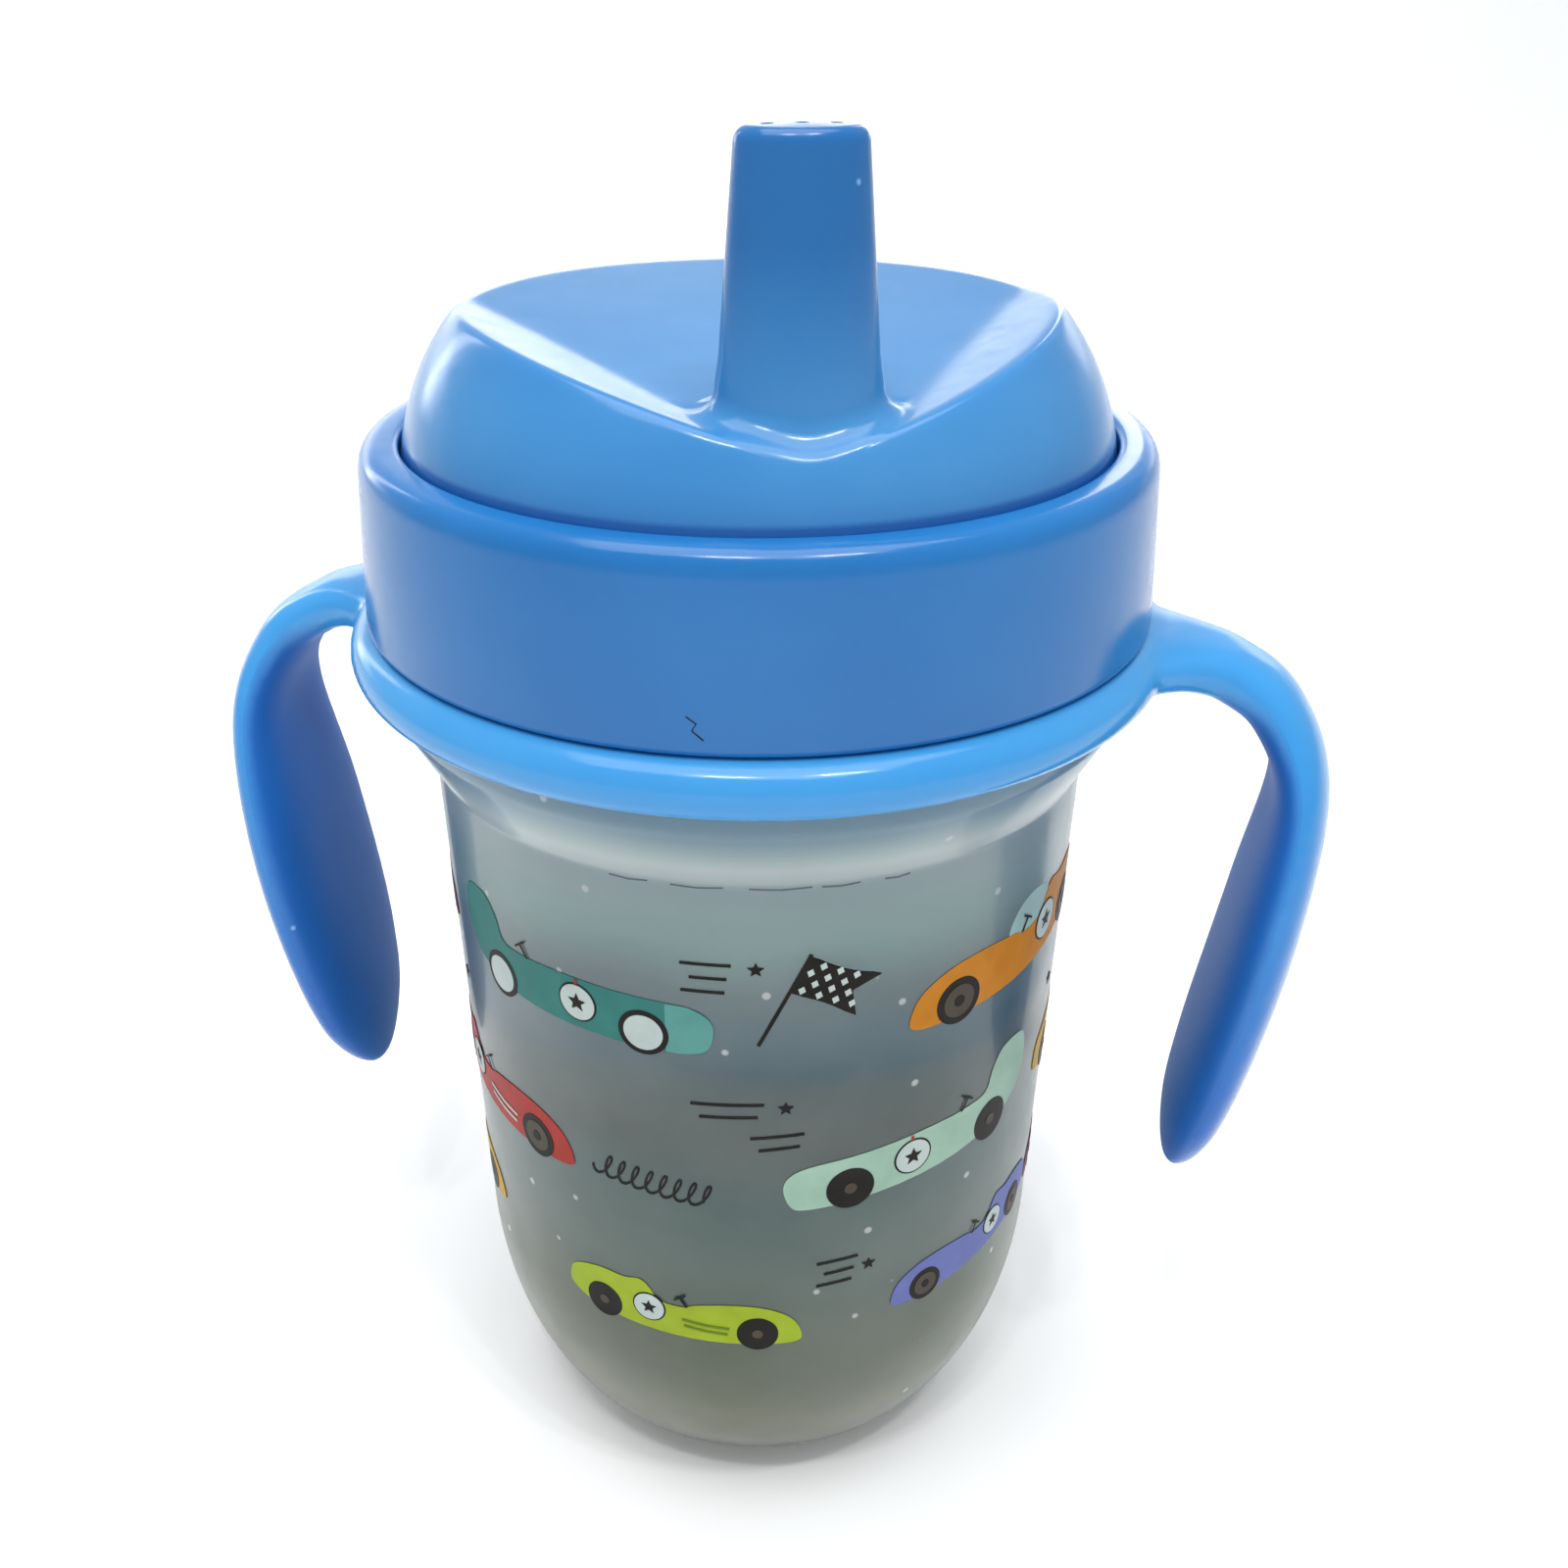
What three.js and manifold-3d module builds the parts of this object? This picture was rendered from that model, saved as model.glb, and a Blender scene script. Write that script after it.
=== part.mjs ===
// Sippy cup with a screw-on spout lid and a loose two-handled ring.
// Millimetres, +Z up, base on z = 0, axis of the cup on Z, spout towards -Y.

import * as THREE from 'three';
import { mergeVertices } from 'three/addons/utils/BufferGeometryUtils.js';
import Module from 'manifold-3d';

const wasm = await Module();
wasm.setup();

// ---------------------------------------------------------------- driving sizes

const WALL = 1.8;
const GAP = 0.3;
const ROUND_STEPS = 48;
const TURN = 2 * Math.PI;

const CUP = {
  wallRadius: 31.6,      // where the rounded base meets the wall
  wallStart: 28.8,
  baseRoundWidth: 18.0,  // half axes of the ellipse that rounds the base
  baseRoundHeight: 29.8,
  baseThickness: 2.1,
  creaseRadius: 33.5,    // the wall flares out from this crease to the ledge
  creaseHeight: 84.0,
  ledgeRadius: 37.4,
  ledgeHeight: 92.8,
  ledgeThickness: 1.8,
  neckStep: 0.4,         // half height of the step from the ring's seat to the neck
  neckRadius: 34.0,
  mouthRadius: 32.2,
  mouthTaper: 1.2,
  rimHeight: 109.6,
  rimRound: 0.5,
};

const RING = {
  innerRadius: 35.8,
  bottom: CUP.ledgeHeight + GAP,
  beadRadius: 2.8,
  outerRadius: 40.9,
  turn: THREE.MathUtils.degToRad(19),  // how far the handles are turned from square to the spout
};

const COLLAR = {
  bottom: 99.0,
  top: 116.1,
  bottomRadius: 38.9,
  topRadius: 38.1,
  shoulder: 1.9,
  openingRadius: 34.8,   // the opening closes in a little towards the top, round the dome
  openingTopRadius: 34.3,
  boreRadius: 36.0,
  pocketRadius: 36.8,
  ledgeThickness: 2.5,
  edge: 0.4,
  chamfer: 0.8,
};

const THREAD = {
  pitch: 4.0,
  turns: 1.25,
  halfWidthRoot: 0.85,
  halfWidthCrest: 0.4,
  neckStart: 102.4,
  collarDrop: 1.6,       // collar thread sits this far under the neck thread
  neckCrest: 35.4,
  collarCrest: 34.5,
  rootOverlap: 0.4,      // how far each ridge reaches into its wall
};

const FLANGE = { radius: 36.5, thickness: 1.7 };
FLANGE.top = COLLAR.top - COLLAR.ledgeThickness - GAP;
FLANGE.bottom = FLANGE.top - FLANGE.thickness;

const SKIRT = { radius: 31.8, bottom: 106.0, wall: 1.6, edge: 0.5 };

const DOME = {
  radius: 34.5,
  spring: 110.4,         // height at which the superellipse of the dome starts
  rise: 26.7,
  sideExponent: 2.6,
  topExponent: 2.07,
};

// The scoop is a shallow trough behind the spout, and a wide V that runs under the spout.
const SCOOP = {
  floorHeight: 125.0,
  floorSlope: 0.072,
  floorSag: 0.0020,
  valleyHeight: 118.6,
  valleySide: 0.325,
  valleySlope: -0.073,
  valleyRound: 0.6,
  stepY: -22.5,
  reach: 45,             // half size of the cutting blocks
  blockHeight: 60,
};

const SPOUT = {
  y: -25.0,
  top: 145.5,
  flat: 0.72,            // depth of the oval over its width
  topHalfWidth: 5.2,
  rootHalfWidth: 6.9,
  rootHeight: 124.0,
  flareHeight: 4.5,      // height over which the root spreads into the scoop
  flare: [[2.6, 0], [1.6, 1.0], [0.7, 2.4]],  // extra half width, height above the foot
  boreFoot: 7,
  edge: 1.0,
  wall: 1.5,
  cap: 2.2,
  holeRadius: 0.9,
  holePitch: 2.7,
};

const SOCKET = { y: -24.0, outerRadius: 5.2, boreRadius: 3.8, bottom: 107.0 };
const VENT = { y: 8.0, outerRadius: 3.4, boreRadius: 2.2, holeRadius: 0.8, roof: 121.5 };
const VALVE = {
  plate: 1.8,
  stemHeight: 7.0,
  stemWall: 1.1,
  ventStemHeight: 8.0,
  barWidth: 6.0,
  barThickness: 1.4,
  tabWidth: 9.0,
  tabThickness: 1.8,
  tabHeight: 9.0,
};

// ---------------------------------------------------------------- materials

const plastic = (color, roughness, opacity = 1) =>
  new THREE.MeshStandardMaterial({
    color, roughness, metalness: 0, opacity, transparent: opacity < 1,
  });

const MATERIALS = {
  clearPlastic: plastic(0x9fb4b8, 0.35, 0.55),
  lidBlue: plastic(0x3f8fe0, 0.22),
  collarBlue: plastic(0x3b86d8, 0.25),
  handleBlue: plastic(0x3a8cec, 0.25),
  silicone: plastic(0xe6e9ec, 0.6),
};

// ---------------------------------------------------------------- helpers

function revolve(profile, segments = ROUND_STEPS) {
  const points = profile.map(([r, z]) => new THREE.Vector2(r, z));
  return new THREE.LatheGeometry(points, segments).rotateX(Math.PI / 2);
}

function arc(centreR, centreZ, halfR, halfZ, from, to, steps) {
  return Array.from({ length: steps + 1 }, (_, i) => {
    const angle = THREE.MathUtils.degToRad(from + ((to - from) * i) / steps);
    return [centreR + halfR * Math.cos(angle), centreZ + halfZ * Math.sin(angle)];
  });
}

function signedVolume(positions, triangles) {
  const corner = new THREE.Vector3();
  const at = (i) => corner.clone().fromArray(positions, 3 * i);
  let volume = 0;
  for (let i = 0; i < triangles.length; i += 3) {
    const [a, b, c] = [triangles[i], triangles[i + 1], triangles[i + 2]].map(at);
    volume += a.dot(b.cross(c)) / 6;
  }
  return volume;
}

// A closed geometry as a manifold solid, with its shared vertices merged and its faces outward.
function solid(geometry) {
  const bare = new THREE.BufferGeometry();
  bare.setAttribute('position', geometry.getAttribute('position'));
  bare.setIndex(geometry.getIndex());
  const merged = mergeVertices(bare, 1e-4);
  const positions = merged.getAttribute('position').array;
  const index = merged.getIndex().array;
  const triangles = [];
  for (let i = 0; i < index.length; i += 3) {
    const [a, b, c] = [index[i], index[i + 1], index[i + 2]];
    if (a !== b && b !== c && c !== a) triangles.push(a, b, c);
  }
  if (signedVolume(positions, triangles) < 0) triangles.reverse();
  return new wasm.Manifold(new wasm.Mesh({
    numProp: 3,
    vertProperties: Float32Array.from(positions),
    triVerts: Uint32Array.from(triangles),
  }));
}

function geometryOf(manifold) {
  const mesh = manifold.getMesh();
  const geometry = new THREE.BufferGeometry();
  geometry.setAttribute('position', new THREE.BufferAttribute(mesh.vertProperties, 3));
  geometry.setIndex(new THREE.BufferAttribute(mesh.triVerts, 1));
  return geometry;
}

// Skins a row of equal rings of points and closes both ends with a fan.
function loft(rings) {
  const count = rings[0].length;
  const positions = rings.flat().flatMap((point) => point.toArray());
  const index = [];
  for (let i = 0; i + 1 < rings.length; i += 1) {
    for (let j = 0; j < count; j += 1) {
      const here = i * count + j;
      const next = i * count + ((j + 1) % count);
      index.push(here, next, next + count, here, next + count, here + count);
    }
  }
  const last = (rings.length - 1) * count;
  for (let j = 1; j + 1 < count; j += 1) {
    index.push(0, j + 1, j, last, last + j, last + j + 1);
  }
  const geometry = new THREE.BufferGeometry();
  geometry.setAttribute('position', new THREE.Float32BufferAttribute(positions, 3));
  geometry.setIndex(index);
  return geometry;
}

// An upright prism along Y of an outline in X and Z, tilted so that it climbs by slope along +Y.
function ridgeAlongY(outline, halfLength, slope) {
  const shape = new THREE.Shape(outline.map(([x, z]) => new THREE.Vector2(x, z)));
  const geometry = new THREE.ExtrudeGeometry(shape, { depth: 2 * halfLength, bevelEnabled: false });
  geometry.translate(0, 0, -halfLength);
  geometry.rotateX(Math.PI / 2);
  return geometry.applyMatrix4(new THREE.Matrix4().set(
    1, 0, 0, 0,
    0, 1, 0, 0,
    0, slope, 1, 0,
    0, 0, 0, 1,
  ));
}

function upright(radius, bottom, top, y, segments = 24) {
  const geometry = new THREE.CylinderGeometry(radius, radius, top - bottom, segments);
  return geometry.rotateX(Math.PI / 2).translate(0, y, (top + bottom) / 2);
}

function box(width, depth, height, x, y, z) {
  return new THREE.BoxGeometry(width, depth, height).translate(x, y, z);
}

function piece(name, geometry, material) {
  const mesh = new THREE.Mesh(geometry, material);
  mesh.name = name;
  return mesh;
}

// ---------------------------------------------------------------- screw thread

// One right-handed thread that fades in and out at its ends.
function threadRidge(rootRadius, crestRadius, startHeight) {
  const steps = Math.round(THREAD.turns * ROUND_STEPS);
  const fade = 3;
  const rings = Array.from({ length: steps + 1 }, (_, i) => {
    const angle = (TURN * i) / ROUND_STEPS;
    const z = startHeight + (THREAD.pitch * i) / ROUND_STEPS;
    const grown = Math.min(1, (i + 0.5) / fade, (steps - i + 0.5) / fade);
    const crest = rootRadius + (crestRadius - rootRadius) * grown;
    const corners = [
      [rootRadius, -THREAD.halfWidthRoot],
      [crest, -THREAD.halfWidthCrest],
      [crest, THREAD.halfWidthCrest],
      [rootRadius, THREAD.halfWidthRoot],
    ];
    return corners.map(([r, up]) => new THREE.Vector3(
      r * Math.cos(angle), r * Math.sin(angle), z + up,
    ));
  });
  return loft(rings);
}

// ---------------------------------------------------------------- cup and handles

function cupProfile() {
  const centreR = CUP.wallRadius - CUP.baseRoundWidth;
  const footAngle = -THREE.MathUtils.radToDeg(Math.asin(CUP.wallStart / CUP.baseRoundHeight));
  const outside = [
    [0, 0],
    ...arc(centreR, CUP.wallStart, CUP.baseRoundWidth, CUP.baseRoundHeight, footAngle, 0, 8),
    [CUP.creaseRadius, CUP.creaseHeight],
    [CUP.ledgeRadius, CUP.ledgeHeight - CUP.ledgeThickness],
    [CUP.ledgeRadius, CUP.ledgeHeight],
    [THREAD.neckCrest, CUP.ledgeHeight],
    [THREAD.neckCrest, COLLAR.bottom - CUP.neckStep],
    [CUP.neckRadius, COLLAR.bottom + CUP.neckStep],
    [CUP.neckRadius, CUP.rimHeight - CUP.rimRound],
    [CUP.neckRadius - CUP.rimRound, CUP.rimHeight],
    [CUP.mouthRadius + CUP.rimRound, CUP.rimHeight],
  ];
  const innerFoot = footAngle + 8;
  const inside = [
    [CUP.mouthRadius, CUP.rimHeight - CUP.rimRound],
    [CUP.mouthRadius, COLLAR.bottom - 1],
    [CUP.mouthRadius + CUP.mouthTaper, CUP.ledgeHeight],
    [CUP.creaseRadius - WALL, CUP.creaseHeight],
    ...arc(centreR, CUP.wallStart, CUP.baseRoundWidth - WALL, CUP.baseRoundHeight - WALL,
      0, innerFoot, 6),
    [0, CUP.baseThickness],
  ];
  return [...outside, ...inside];
}

function buildCup() {
  const wall = solid(revolve(cupProfile()));
  const root = CUP.neckRadius - THREAD.rootOverlap;
  const thread = solid(threadRidge(root, THREAD.neckCrest, THREAD.neckStart));
  return geometryOf(wall.add(thread));
}

// Centre line and half sizes of one handle, from its root in the ring to its rounded tip.
const HANDLE_STATIONS = [
  { reach: 37.8, height: 95.9, halfWidth: 10.0, halfThickness: 2.5 },
  { reach: 40.6, height: 95.8, halfWidth: 8.2, halfThickness: 2.5 },
  { reach: 43.4, height: 95.5, halfWidth: 6.4, halfThickness: 2.5 },
  { reach: 47.0, height: 94.4, halfWidth: 5.5, halfThickness: 2.6 },
  { reach: 51.8, height: 90.7, halfWidth: 6.3, halfThickness: 2.8 },
  { reach: 54.7, height: 82.5, halfWidth: 9.0, halfThickness: 3.2 },
  { reach: 53.2, height: 67.5, halfWidth: 11.5, halfThickness: 3.9 },
  { reach: 50.4, height: 50.5, halfWidth: 10.6, halfThickness: 3.8 },
  { reach: 47.6, height: 34.4, halfWidth: 6.0, halfThickness: 2.5 },
];
const HANDLE_STEPS = 28;
const HANDLE_SIDES = 18;
const HANDLE_TIP_START = 0.92;
const HANDLE_TIP_CROWDING = 1.5;
// The strap's section is boxy at the root and turns into a plain oval down the paddle.
const HANDLE_SECTION = { root: 0.72, paddle: 1.0, start: 0.35, end: 0.6 };
const HANDLE_DISH = { depth: 0.9, width: 0.9, start: 0.48, full: 0.63, fade: 0.8, end: 0.95 };

function squareness(t) {
  const { root, paddle, start, end } = HANDLE_SECTION;
  return THREE.MathUtils.lerp(root, paddle, THREE.MathUtils.smoothstep(t, start, end));
}

// How deep the inner face of the paddle is dished at t along the handle.
function dishDepth(t) {
  const grow = THREE.MathUtils.smoothstep(t, HANDLE_DISH.start, HANDLE_DISH.full);
  const fade = 1 - THREE.MathUtils.smoothstep(t, HANDLE_DISH.fade, HANDLE_DISH.end);
  return HANDLE_DISH.depth * grow * fade;
}

function handleRing(line, sizes, t) {
  const centre = line.getPoint(t);
  const along = line.getTangent(t);
  const outward = new THREE.Vector3(along.z, 0, -along.x).negate();
  const size = sizes.getPoint(t);
  const intoTip = Math.max(0, (t - HANDLE_TIP_START) / (1 - HANDLE_TIP_START));
  const shrink = Math.sqrt(Math.max(0.004, 1 - intoTip ** 2));
  const power = squareness(t);
  const bulge = (value) => Math.sign(value) * Math.abs(value) ** power;
  return Array.from({ length: HANDLE_SIDES }, (_, j) => {
    const angle = (TURN * j) / HANDLE_SIDES;
    const share = bulge(Math.cos(angle));
    const fromMiddle = Math.min(1, Math.abs(share) / HANDLE_DISH.width);
    const dish = Math.sin(angle) < 0 ? dishDepth(t) * (1 - fromMiddle ** 2) : 0;
    const through = size.y * shrink * bulge(Math.sin(angle)) + dish;
    return centre.clone()
      .addScaledVector(outward, through)
      .add(new THREE.Vector3(0, size.x * shrink * share, 0));
  });
}

function buildHandle() {
  const line = new THREE.CatmullRomCurve3(
    HANDLE_STATIONS.map(({ reach, height }) => new THREE.Vector3(reach, 0, height)),
  );
  const sizes = new THREE.SplineCurve(
    HANDLE_STATIONS.map(({ halfWidth, halfThickness }) =>
      new THREE.Vector2(halfWidth, halfThickness)),
  );
  const rings = Array.from({ length: HANDLE_STEPS + 1 }, (_, i) => {
    const even = i / HANDLE_STEPS;
    const crowded = 1 - (1 - even) ** HANDLE_TIP_CROWDING;
    return handleRing(line, sizes, crowded);
  });
  return loft(rings);
}

function buildHandleRing() {
  const top = RING.bottom + 2 * RING.beadRadius;
  const centreR = RING.outerRadius - RING.beadRadius;
  const bead = arc(centreR, RING.bottom + RING.beadRadius, RING.beadRadius, RING.beadRadius,
    -90, 90, 7);
  const section = [[RING.innerRadius, RING.bottom], ...bead, [RING.innerRadius, top]];
  section.push(section[0]);
  let ring = solid(revolve(section));
  for (const facing of [0, Math.PI]) {
    const handle = buildHandle().rotateZ(facing - RING.turn);
    ring = ring.add(solid(handle));
  }
  return geometryOf(ring);
}

// ---------------------------------------------------------------- collar

function buildCollar() {
  const underLedge = COLLAR.top - COLLAR.ledgeThickness;
  const step = FLANGE.bottom - GAP;
  const section = [
    [COLLAR.boreRadius + COLLAR.edge, COLLAR.bottom],
    [COLLAR.bottomRadius - COLLAR.edge, COLLAR.bottom],
    [COLLAR.bottomRadius, COLLAR.bottom + COLLAR.edge],
    ...arc(COLLAR.topRadius - COLLAR.shoulder, COLLAR.top - COLLAR.shoulder,
      COLLAR.shoulder, COLLAR.shoulder, 0, 90, 5),
    [COLLAR.openingTopRadius + COLLAR.edge, COLLAR.top],
    [COLLAR.openingTopRadius, COLLAR.top - COLLAR.edge],
    [COLLAR.openingRadius, underLedge],
    [COLLAR.pocketRadius, underLedge],
    [COLLAR.pocketRadius, step],
    [COLLAR.boreRadius, step - COLLAR.chamfer],
    [COLLAR.boreRadius, COLLAR.bottom + COLLAR.chamfer],
  ];
  section.push(section[0]);
  const shell = solid(revolve(section));
  const start = THREAD.neckStart - THREAD.collarDrop;
  const root = COLLAR.boreRadius + THREAD.rootOverlap;
  const thread = solid(threadRidge(root, THREAD.collarCrest, start));
  return geometryOf(shell.add(thread));
}

// ---------------------------------------------------------------- spout lid

function domeProfile(inset, steps) {
  return Array.from({ length: steps + 1 }, (_, i) => {
    const angle = (Math.PI / 2) * (i / steps);
    const r = (DOME.radius - inset) * Math.cos(angle) ** (2 / DOME.sideExponent);
    const z = DOME.spring + (DOME.rise - inset) * Math.sin(angle) ** (2 / DOME.topExponent);
    return [i === steps ? 0 : r, z];
  });
}

// Everything above the scooped face, lowered by drop for the inner face of the shell.
function aboveScoop(drop) {
  const across = Array.from({ length: 17 }, (_, i) => SCOOP.reach * (i / 8 - 1));
  const trough = across.map((x) => [x, SCOOP.floorHeight - drop + SCOOP.floorSag * x * x]);
  const valley = across.map((x) => {
    const side = Math.hypot(SCOOP.valleySide * x, SCOOP.valleyRound);
    return [x, SCOOP.valleyHeight - drop + side];
  });
  const above = SCOOP.floorHeight + SCOOP.blockHeight / 2;
  const lid = [[SCOOP.reach, above], [-SCOOP.reach, above]];
  const overTrough = solid(ridgeAlongY([...trough, ...lid], SCOOP.reach, SCOOP.floorSlope));
  const overValley = solid(ridgeAlongY([...valley, ...lid], SCOOP.reach, SCOOP.valleySlope));
  const frontDepth = SCOOP.reach + SCOOP.stepY;
  const front = solid(box(2 * SCOOP.reach, frontDepth, SCOOP.blockHeight,
    0, SCOOP.stepY - frontDepth / 2, SCOOP.floorHeight));
  return overValley.intersect(overTrough.add(front));
}

function ovalTube(profile) {
  const oval = revolve(profile, 32);
  return oval.scale(1, SPOUT.flat, 1).translate(0, SPOUT.y, 0);
}

function spoutOutside() {
  const slope = (SPOUT.rootHalfWidth - SPOUT.topHalfWidth) / (SPOUT.top - SPOUT.rootHeight);
  const foot = SPOUT.rootHeight - SPOUT.flareHeight;
  return ovalTube([
    [0, foot],
    ...SPOUT.flare.map(([extra, up]) => [SPOUT.rootHalfWidth + extra, foot + up]),
    [SPOUT.rootHalfWidth, SPOUT.rootHeight],
    [SPOUT.topHalfWidth + slope * SPOUT.edge, SPOUT.top - SPOUT.edge],
    ...arc(SPOUT.topHalfWidth - SPOUT.edge, SPOUT.top - SPOUT.edge,
      SPOUT.edge, SPOUT.edge, 30, 90, 2),
    [0, SPOUT.top],
  ]);
}

function spoutBore() {
  const roof = SPOUT.top - SPOUT.cap;
  const foot = SPOUT.rootHeight - SPOUT.boreFoot;
  return ovalTube([
    [0, foot],
    [SPOUT.rootHalfWidth - SPOUT.wall, foot],
    [SPOUT.rootHalfWidth - SPOUT.wall, SPOUT.rootHeight],
    [SPOUT.topHalfWidth - SPOUT.wall, roof],
    [0, roof],
  ]);
}

function lidOutside() {
  const shell = solid(revolve([
    [0, SKIRT.bottom],
    [SKIRT.radius - SKIRT.edge, SKIRT.bottom],
    [SKIRT.radius, SKIRT.bottom + SKIRT.edge],
    [SKIRT.radius, FLANGE.bottom],
    [FLANGE.radius, FLANGE.bottom],
    [FLANGE.radius, FLANGE.top],
    [DOME.radius, FLANGE.top],
    ...domeProfile(0, 14).slice(2),
  ]));
  return shell.subtract(aboveScoop(0)).add(solid(spoutOutside()));
}

function lidCavity() {
  const hollow = solid(revolve([
    [0, SKIRT.bottom - 1],
    [SKIRT.radius - SKIRT.wall, SKIRT.bottom - 1],
    [SKIRT.radius - SKIRT.wall, FLANGE.bottom],
    ...domeProfile(WALL, 12).slice(1),
  ]));
  const socket = upright(SOCKET.outerRadius, SOCKET.bottom, SPOUT.rootHeight + 2, SOCKET.y);
  const vent = upright(VENT.outerRadius, SOCKET.bottom, SPOUT.rootHeight + 2, VENT.y);
  return hollow
    .subtract(aboveScoop(WALL))
    .subtract(solid(socket))
    .subtract(solid(vent));
}

function buildSpoutLid() {
  const bores = [
    spoutBore(),
    upright(SOCKET.boreRadius, SOCKET.bottom - 1, SPOUT.rootHeight - 3, SOCKET.y),
    upright(VENT.boreRadius, SOCKET.bottom - 1, VENT.roof, VENT.y, 20),
    upright(VENT.holeRadius, VENT.roof - 1, DOME.spring + DOME.rise, VENT.y, 12),
  ];
  let lid = lidOutside().subtract(lidCavity());
  for (const bore of bores) lid = lid.subtract(solid(bore));
  for (const side of [-1, 0, 1]) {
    const hole = upright(SPOUT.holeRadius, SPOUT.top - SPOUT.cap - 1, SPOUT.top + 1, SPOUT.y, 12);
    lid = lid.subtract(solid(hole.translate(side * SPOUT.holePitch, 0, 0)));
  }
  return geometryOf(lid);
}

// ---------------------------------------------------------------- seals

function buildGasket() {
  const [bottom, top] = [CUP.rimHeight + GAP, FLANGE.bottom - GAP];
  const [inner, outer] = [SKIRT.radius + GAP, CUP.neckRadius + 1.3];
  const section = [
    [inner, bottom],
    [outer, bottom],
    [outer, top],
    [inner, top],
    [inner, bottom],
  ];
  return revolve(section);
}

function buildValve() {
  const top = SOCKET.bottom - GAP;
  const bottom = top - VALVE.plate;
  const middle = (top + bottom) / 2;
  const length = VENT.y - SOCKET.y;
  const centreY = (VENT.y + SOCKET.y) / 2;
  const stemRadius = SOCKET.boreRadius - GAP;
  const parts = [
    upright(SOCKET.outerRadius, bottom, top, SOCKET.y),
    upright(stemRadius, middle, top + VALVE.stemHeight, SOCKET.y),
    upright(VENT.outerRadius, bottom, top, VENT.y, 20),
    upright(VENT.boreRadius - GAP, middle, top + VALVE.ventStemHeight, VENT.y, 20),
    box(VALVE.barWidth, length, VALVE.barThickness, 0, centreY, middle),
    box(VALVE.tabWidth, VALVE.tabThickness, VALVE.tabHeight, 0, centreY, middle - VALVE.tabHeight / 2),
  ];
  const whole = parts.map(solid).reduce((sum, part) => sum.add(part));
  const stemTop = top + VALVE.stemHeight + 1;
  const well = solid(upright(stemRadius - VALVE.stemWall, top + 1, stemTop, SOCKET.y));
  return geometryOf(whole.subtract(well));
}

// ---------------------------------------------------------------- assembly

const sippyCup = new THREE.Group();
sippyCup.add(
  piece('cup_body', buildCup(), MATERIALS.clearPlastic),
  piece('handle_ring', buildHandleRing(), MATERIALS.handleBlue),
  piece('screw_collar', buildCollar(), MATERIALS.collarBlue),
  piece('spout_lid', buildSpoutLid(), MATERIALS.lidBlue),
  piece('lid_gasket', buildGasket(), MATERIALS.silicone),
  piece('spill_valve', buildValve(), MATERIALS.silicone),
);

export default sippyCup;
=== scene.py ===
"""The looks of a toddler's sippy cup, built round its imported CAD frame: metres, +Z up, spout at -Y."""

import math

import bpy
import numpy as np
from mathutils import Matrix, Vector, geometry


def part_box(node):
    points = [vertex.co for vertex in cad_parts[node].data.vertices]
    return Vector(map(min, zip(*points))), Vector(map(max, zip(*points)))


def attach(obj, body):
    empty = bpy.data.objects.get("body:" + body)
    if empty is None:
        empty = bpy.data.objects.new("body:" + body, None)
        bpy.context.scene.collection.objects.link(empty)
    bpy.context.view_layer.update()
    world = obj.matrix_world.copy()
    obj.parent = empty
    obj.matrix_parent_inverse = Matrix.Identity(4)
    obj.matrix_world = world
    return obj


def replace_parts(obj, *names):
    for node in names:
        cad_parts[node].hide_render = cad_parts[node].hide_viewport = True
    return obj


MM = 0.001
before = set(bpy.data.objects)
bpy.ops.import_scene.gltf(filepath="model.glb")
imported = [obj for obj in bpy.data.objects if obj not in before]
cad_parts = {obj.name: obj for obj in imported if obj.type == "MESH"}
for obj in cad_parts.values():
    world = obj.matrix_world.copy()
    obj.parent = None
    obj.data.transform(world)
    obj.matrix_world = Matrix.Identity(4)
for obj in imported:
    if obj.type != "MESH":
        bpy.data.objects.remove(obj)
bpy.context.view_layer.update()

# ---------------------------------------------------------------- sizes from the frame, in millimetres


def box_mm(node):
    low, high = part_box(node)
    return np.array(low) / MM, np.array(high) / MM


CUP_HIGH = box_mm("cup_body")[1]
RING_HIGH = box_mm("handle_ring")[1]
COLLAR_LOW, COLLAR_HIGH = box_mm("screw_collar")
LID_LOW, LID_HIGH = box_mm("spout_lid")
GASKET_LOW, GASKET_HIGH = box_mm("lid_gasket")

LEDGE_R = CUP_HIGH[0]
RIM_Z = CUP_HIGH[2]
COLLAR_R = COLLAR_HIGH[0]
COLLAR_TOP_R = COLLAR_R - 0.8
COLLAR_BOTTOM = COLLAR_LOW[2]
COLLAR_TOP = COLLAR_HIGH[2]
RING_R = RING_HIGH[1]
RING_TOP = RING_HIGH[2]
FLANGE_R = LID_HIGH[0]
SKIRT_BOTTOM = LID_LOW[2]
SPOUT_TOP = LID_HIGH[2]

# The cup, from its base up
WALL = 1.8
BASE_CENTRE_R = LEDGE_R - 23.8
BASE_WIDTH = 18.0
BASE_HEIGHT = 29.8
WALL_START = 28.8
WALL_R = BASE_CENTRE_R + BASE_WIDTH
CREASE_R = LEDGE_R - 3.9
CREASE_Z = 84.0
LEDGE_THICKNESS = 1.8
LEDGE_Z = COLLAR_BOTTOM - 6.2
BAND_R = LEDGE_R - 2.0
NECK_R = LEDGE_R - 3.4
MOUTH_R = NECK_R - WALL

# The thread
PITCH = 4.0
THREAD_TURNS = 1.25
THREAD_START = COLLAR_BOTTOM + 3.4
THREAD_DROP = 1.6

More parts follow.
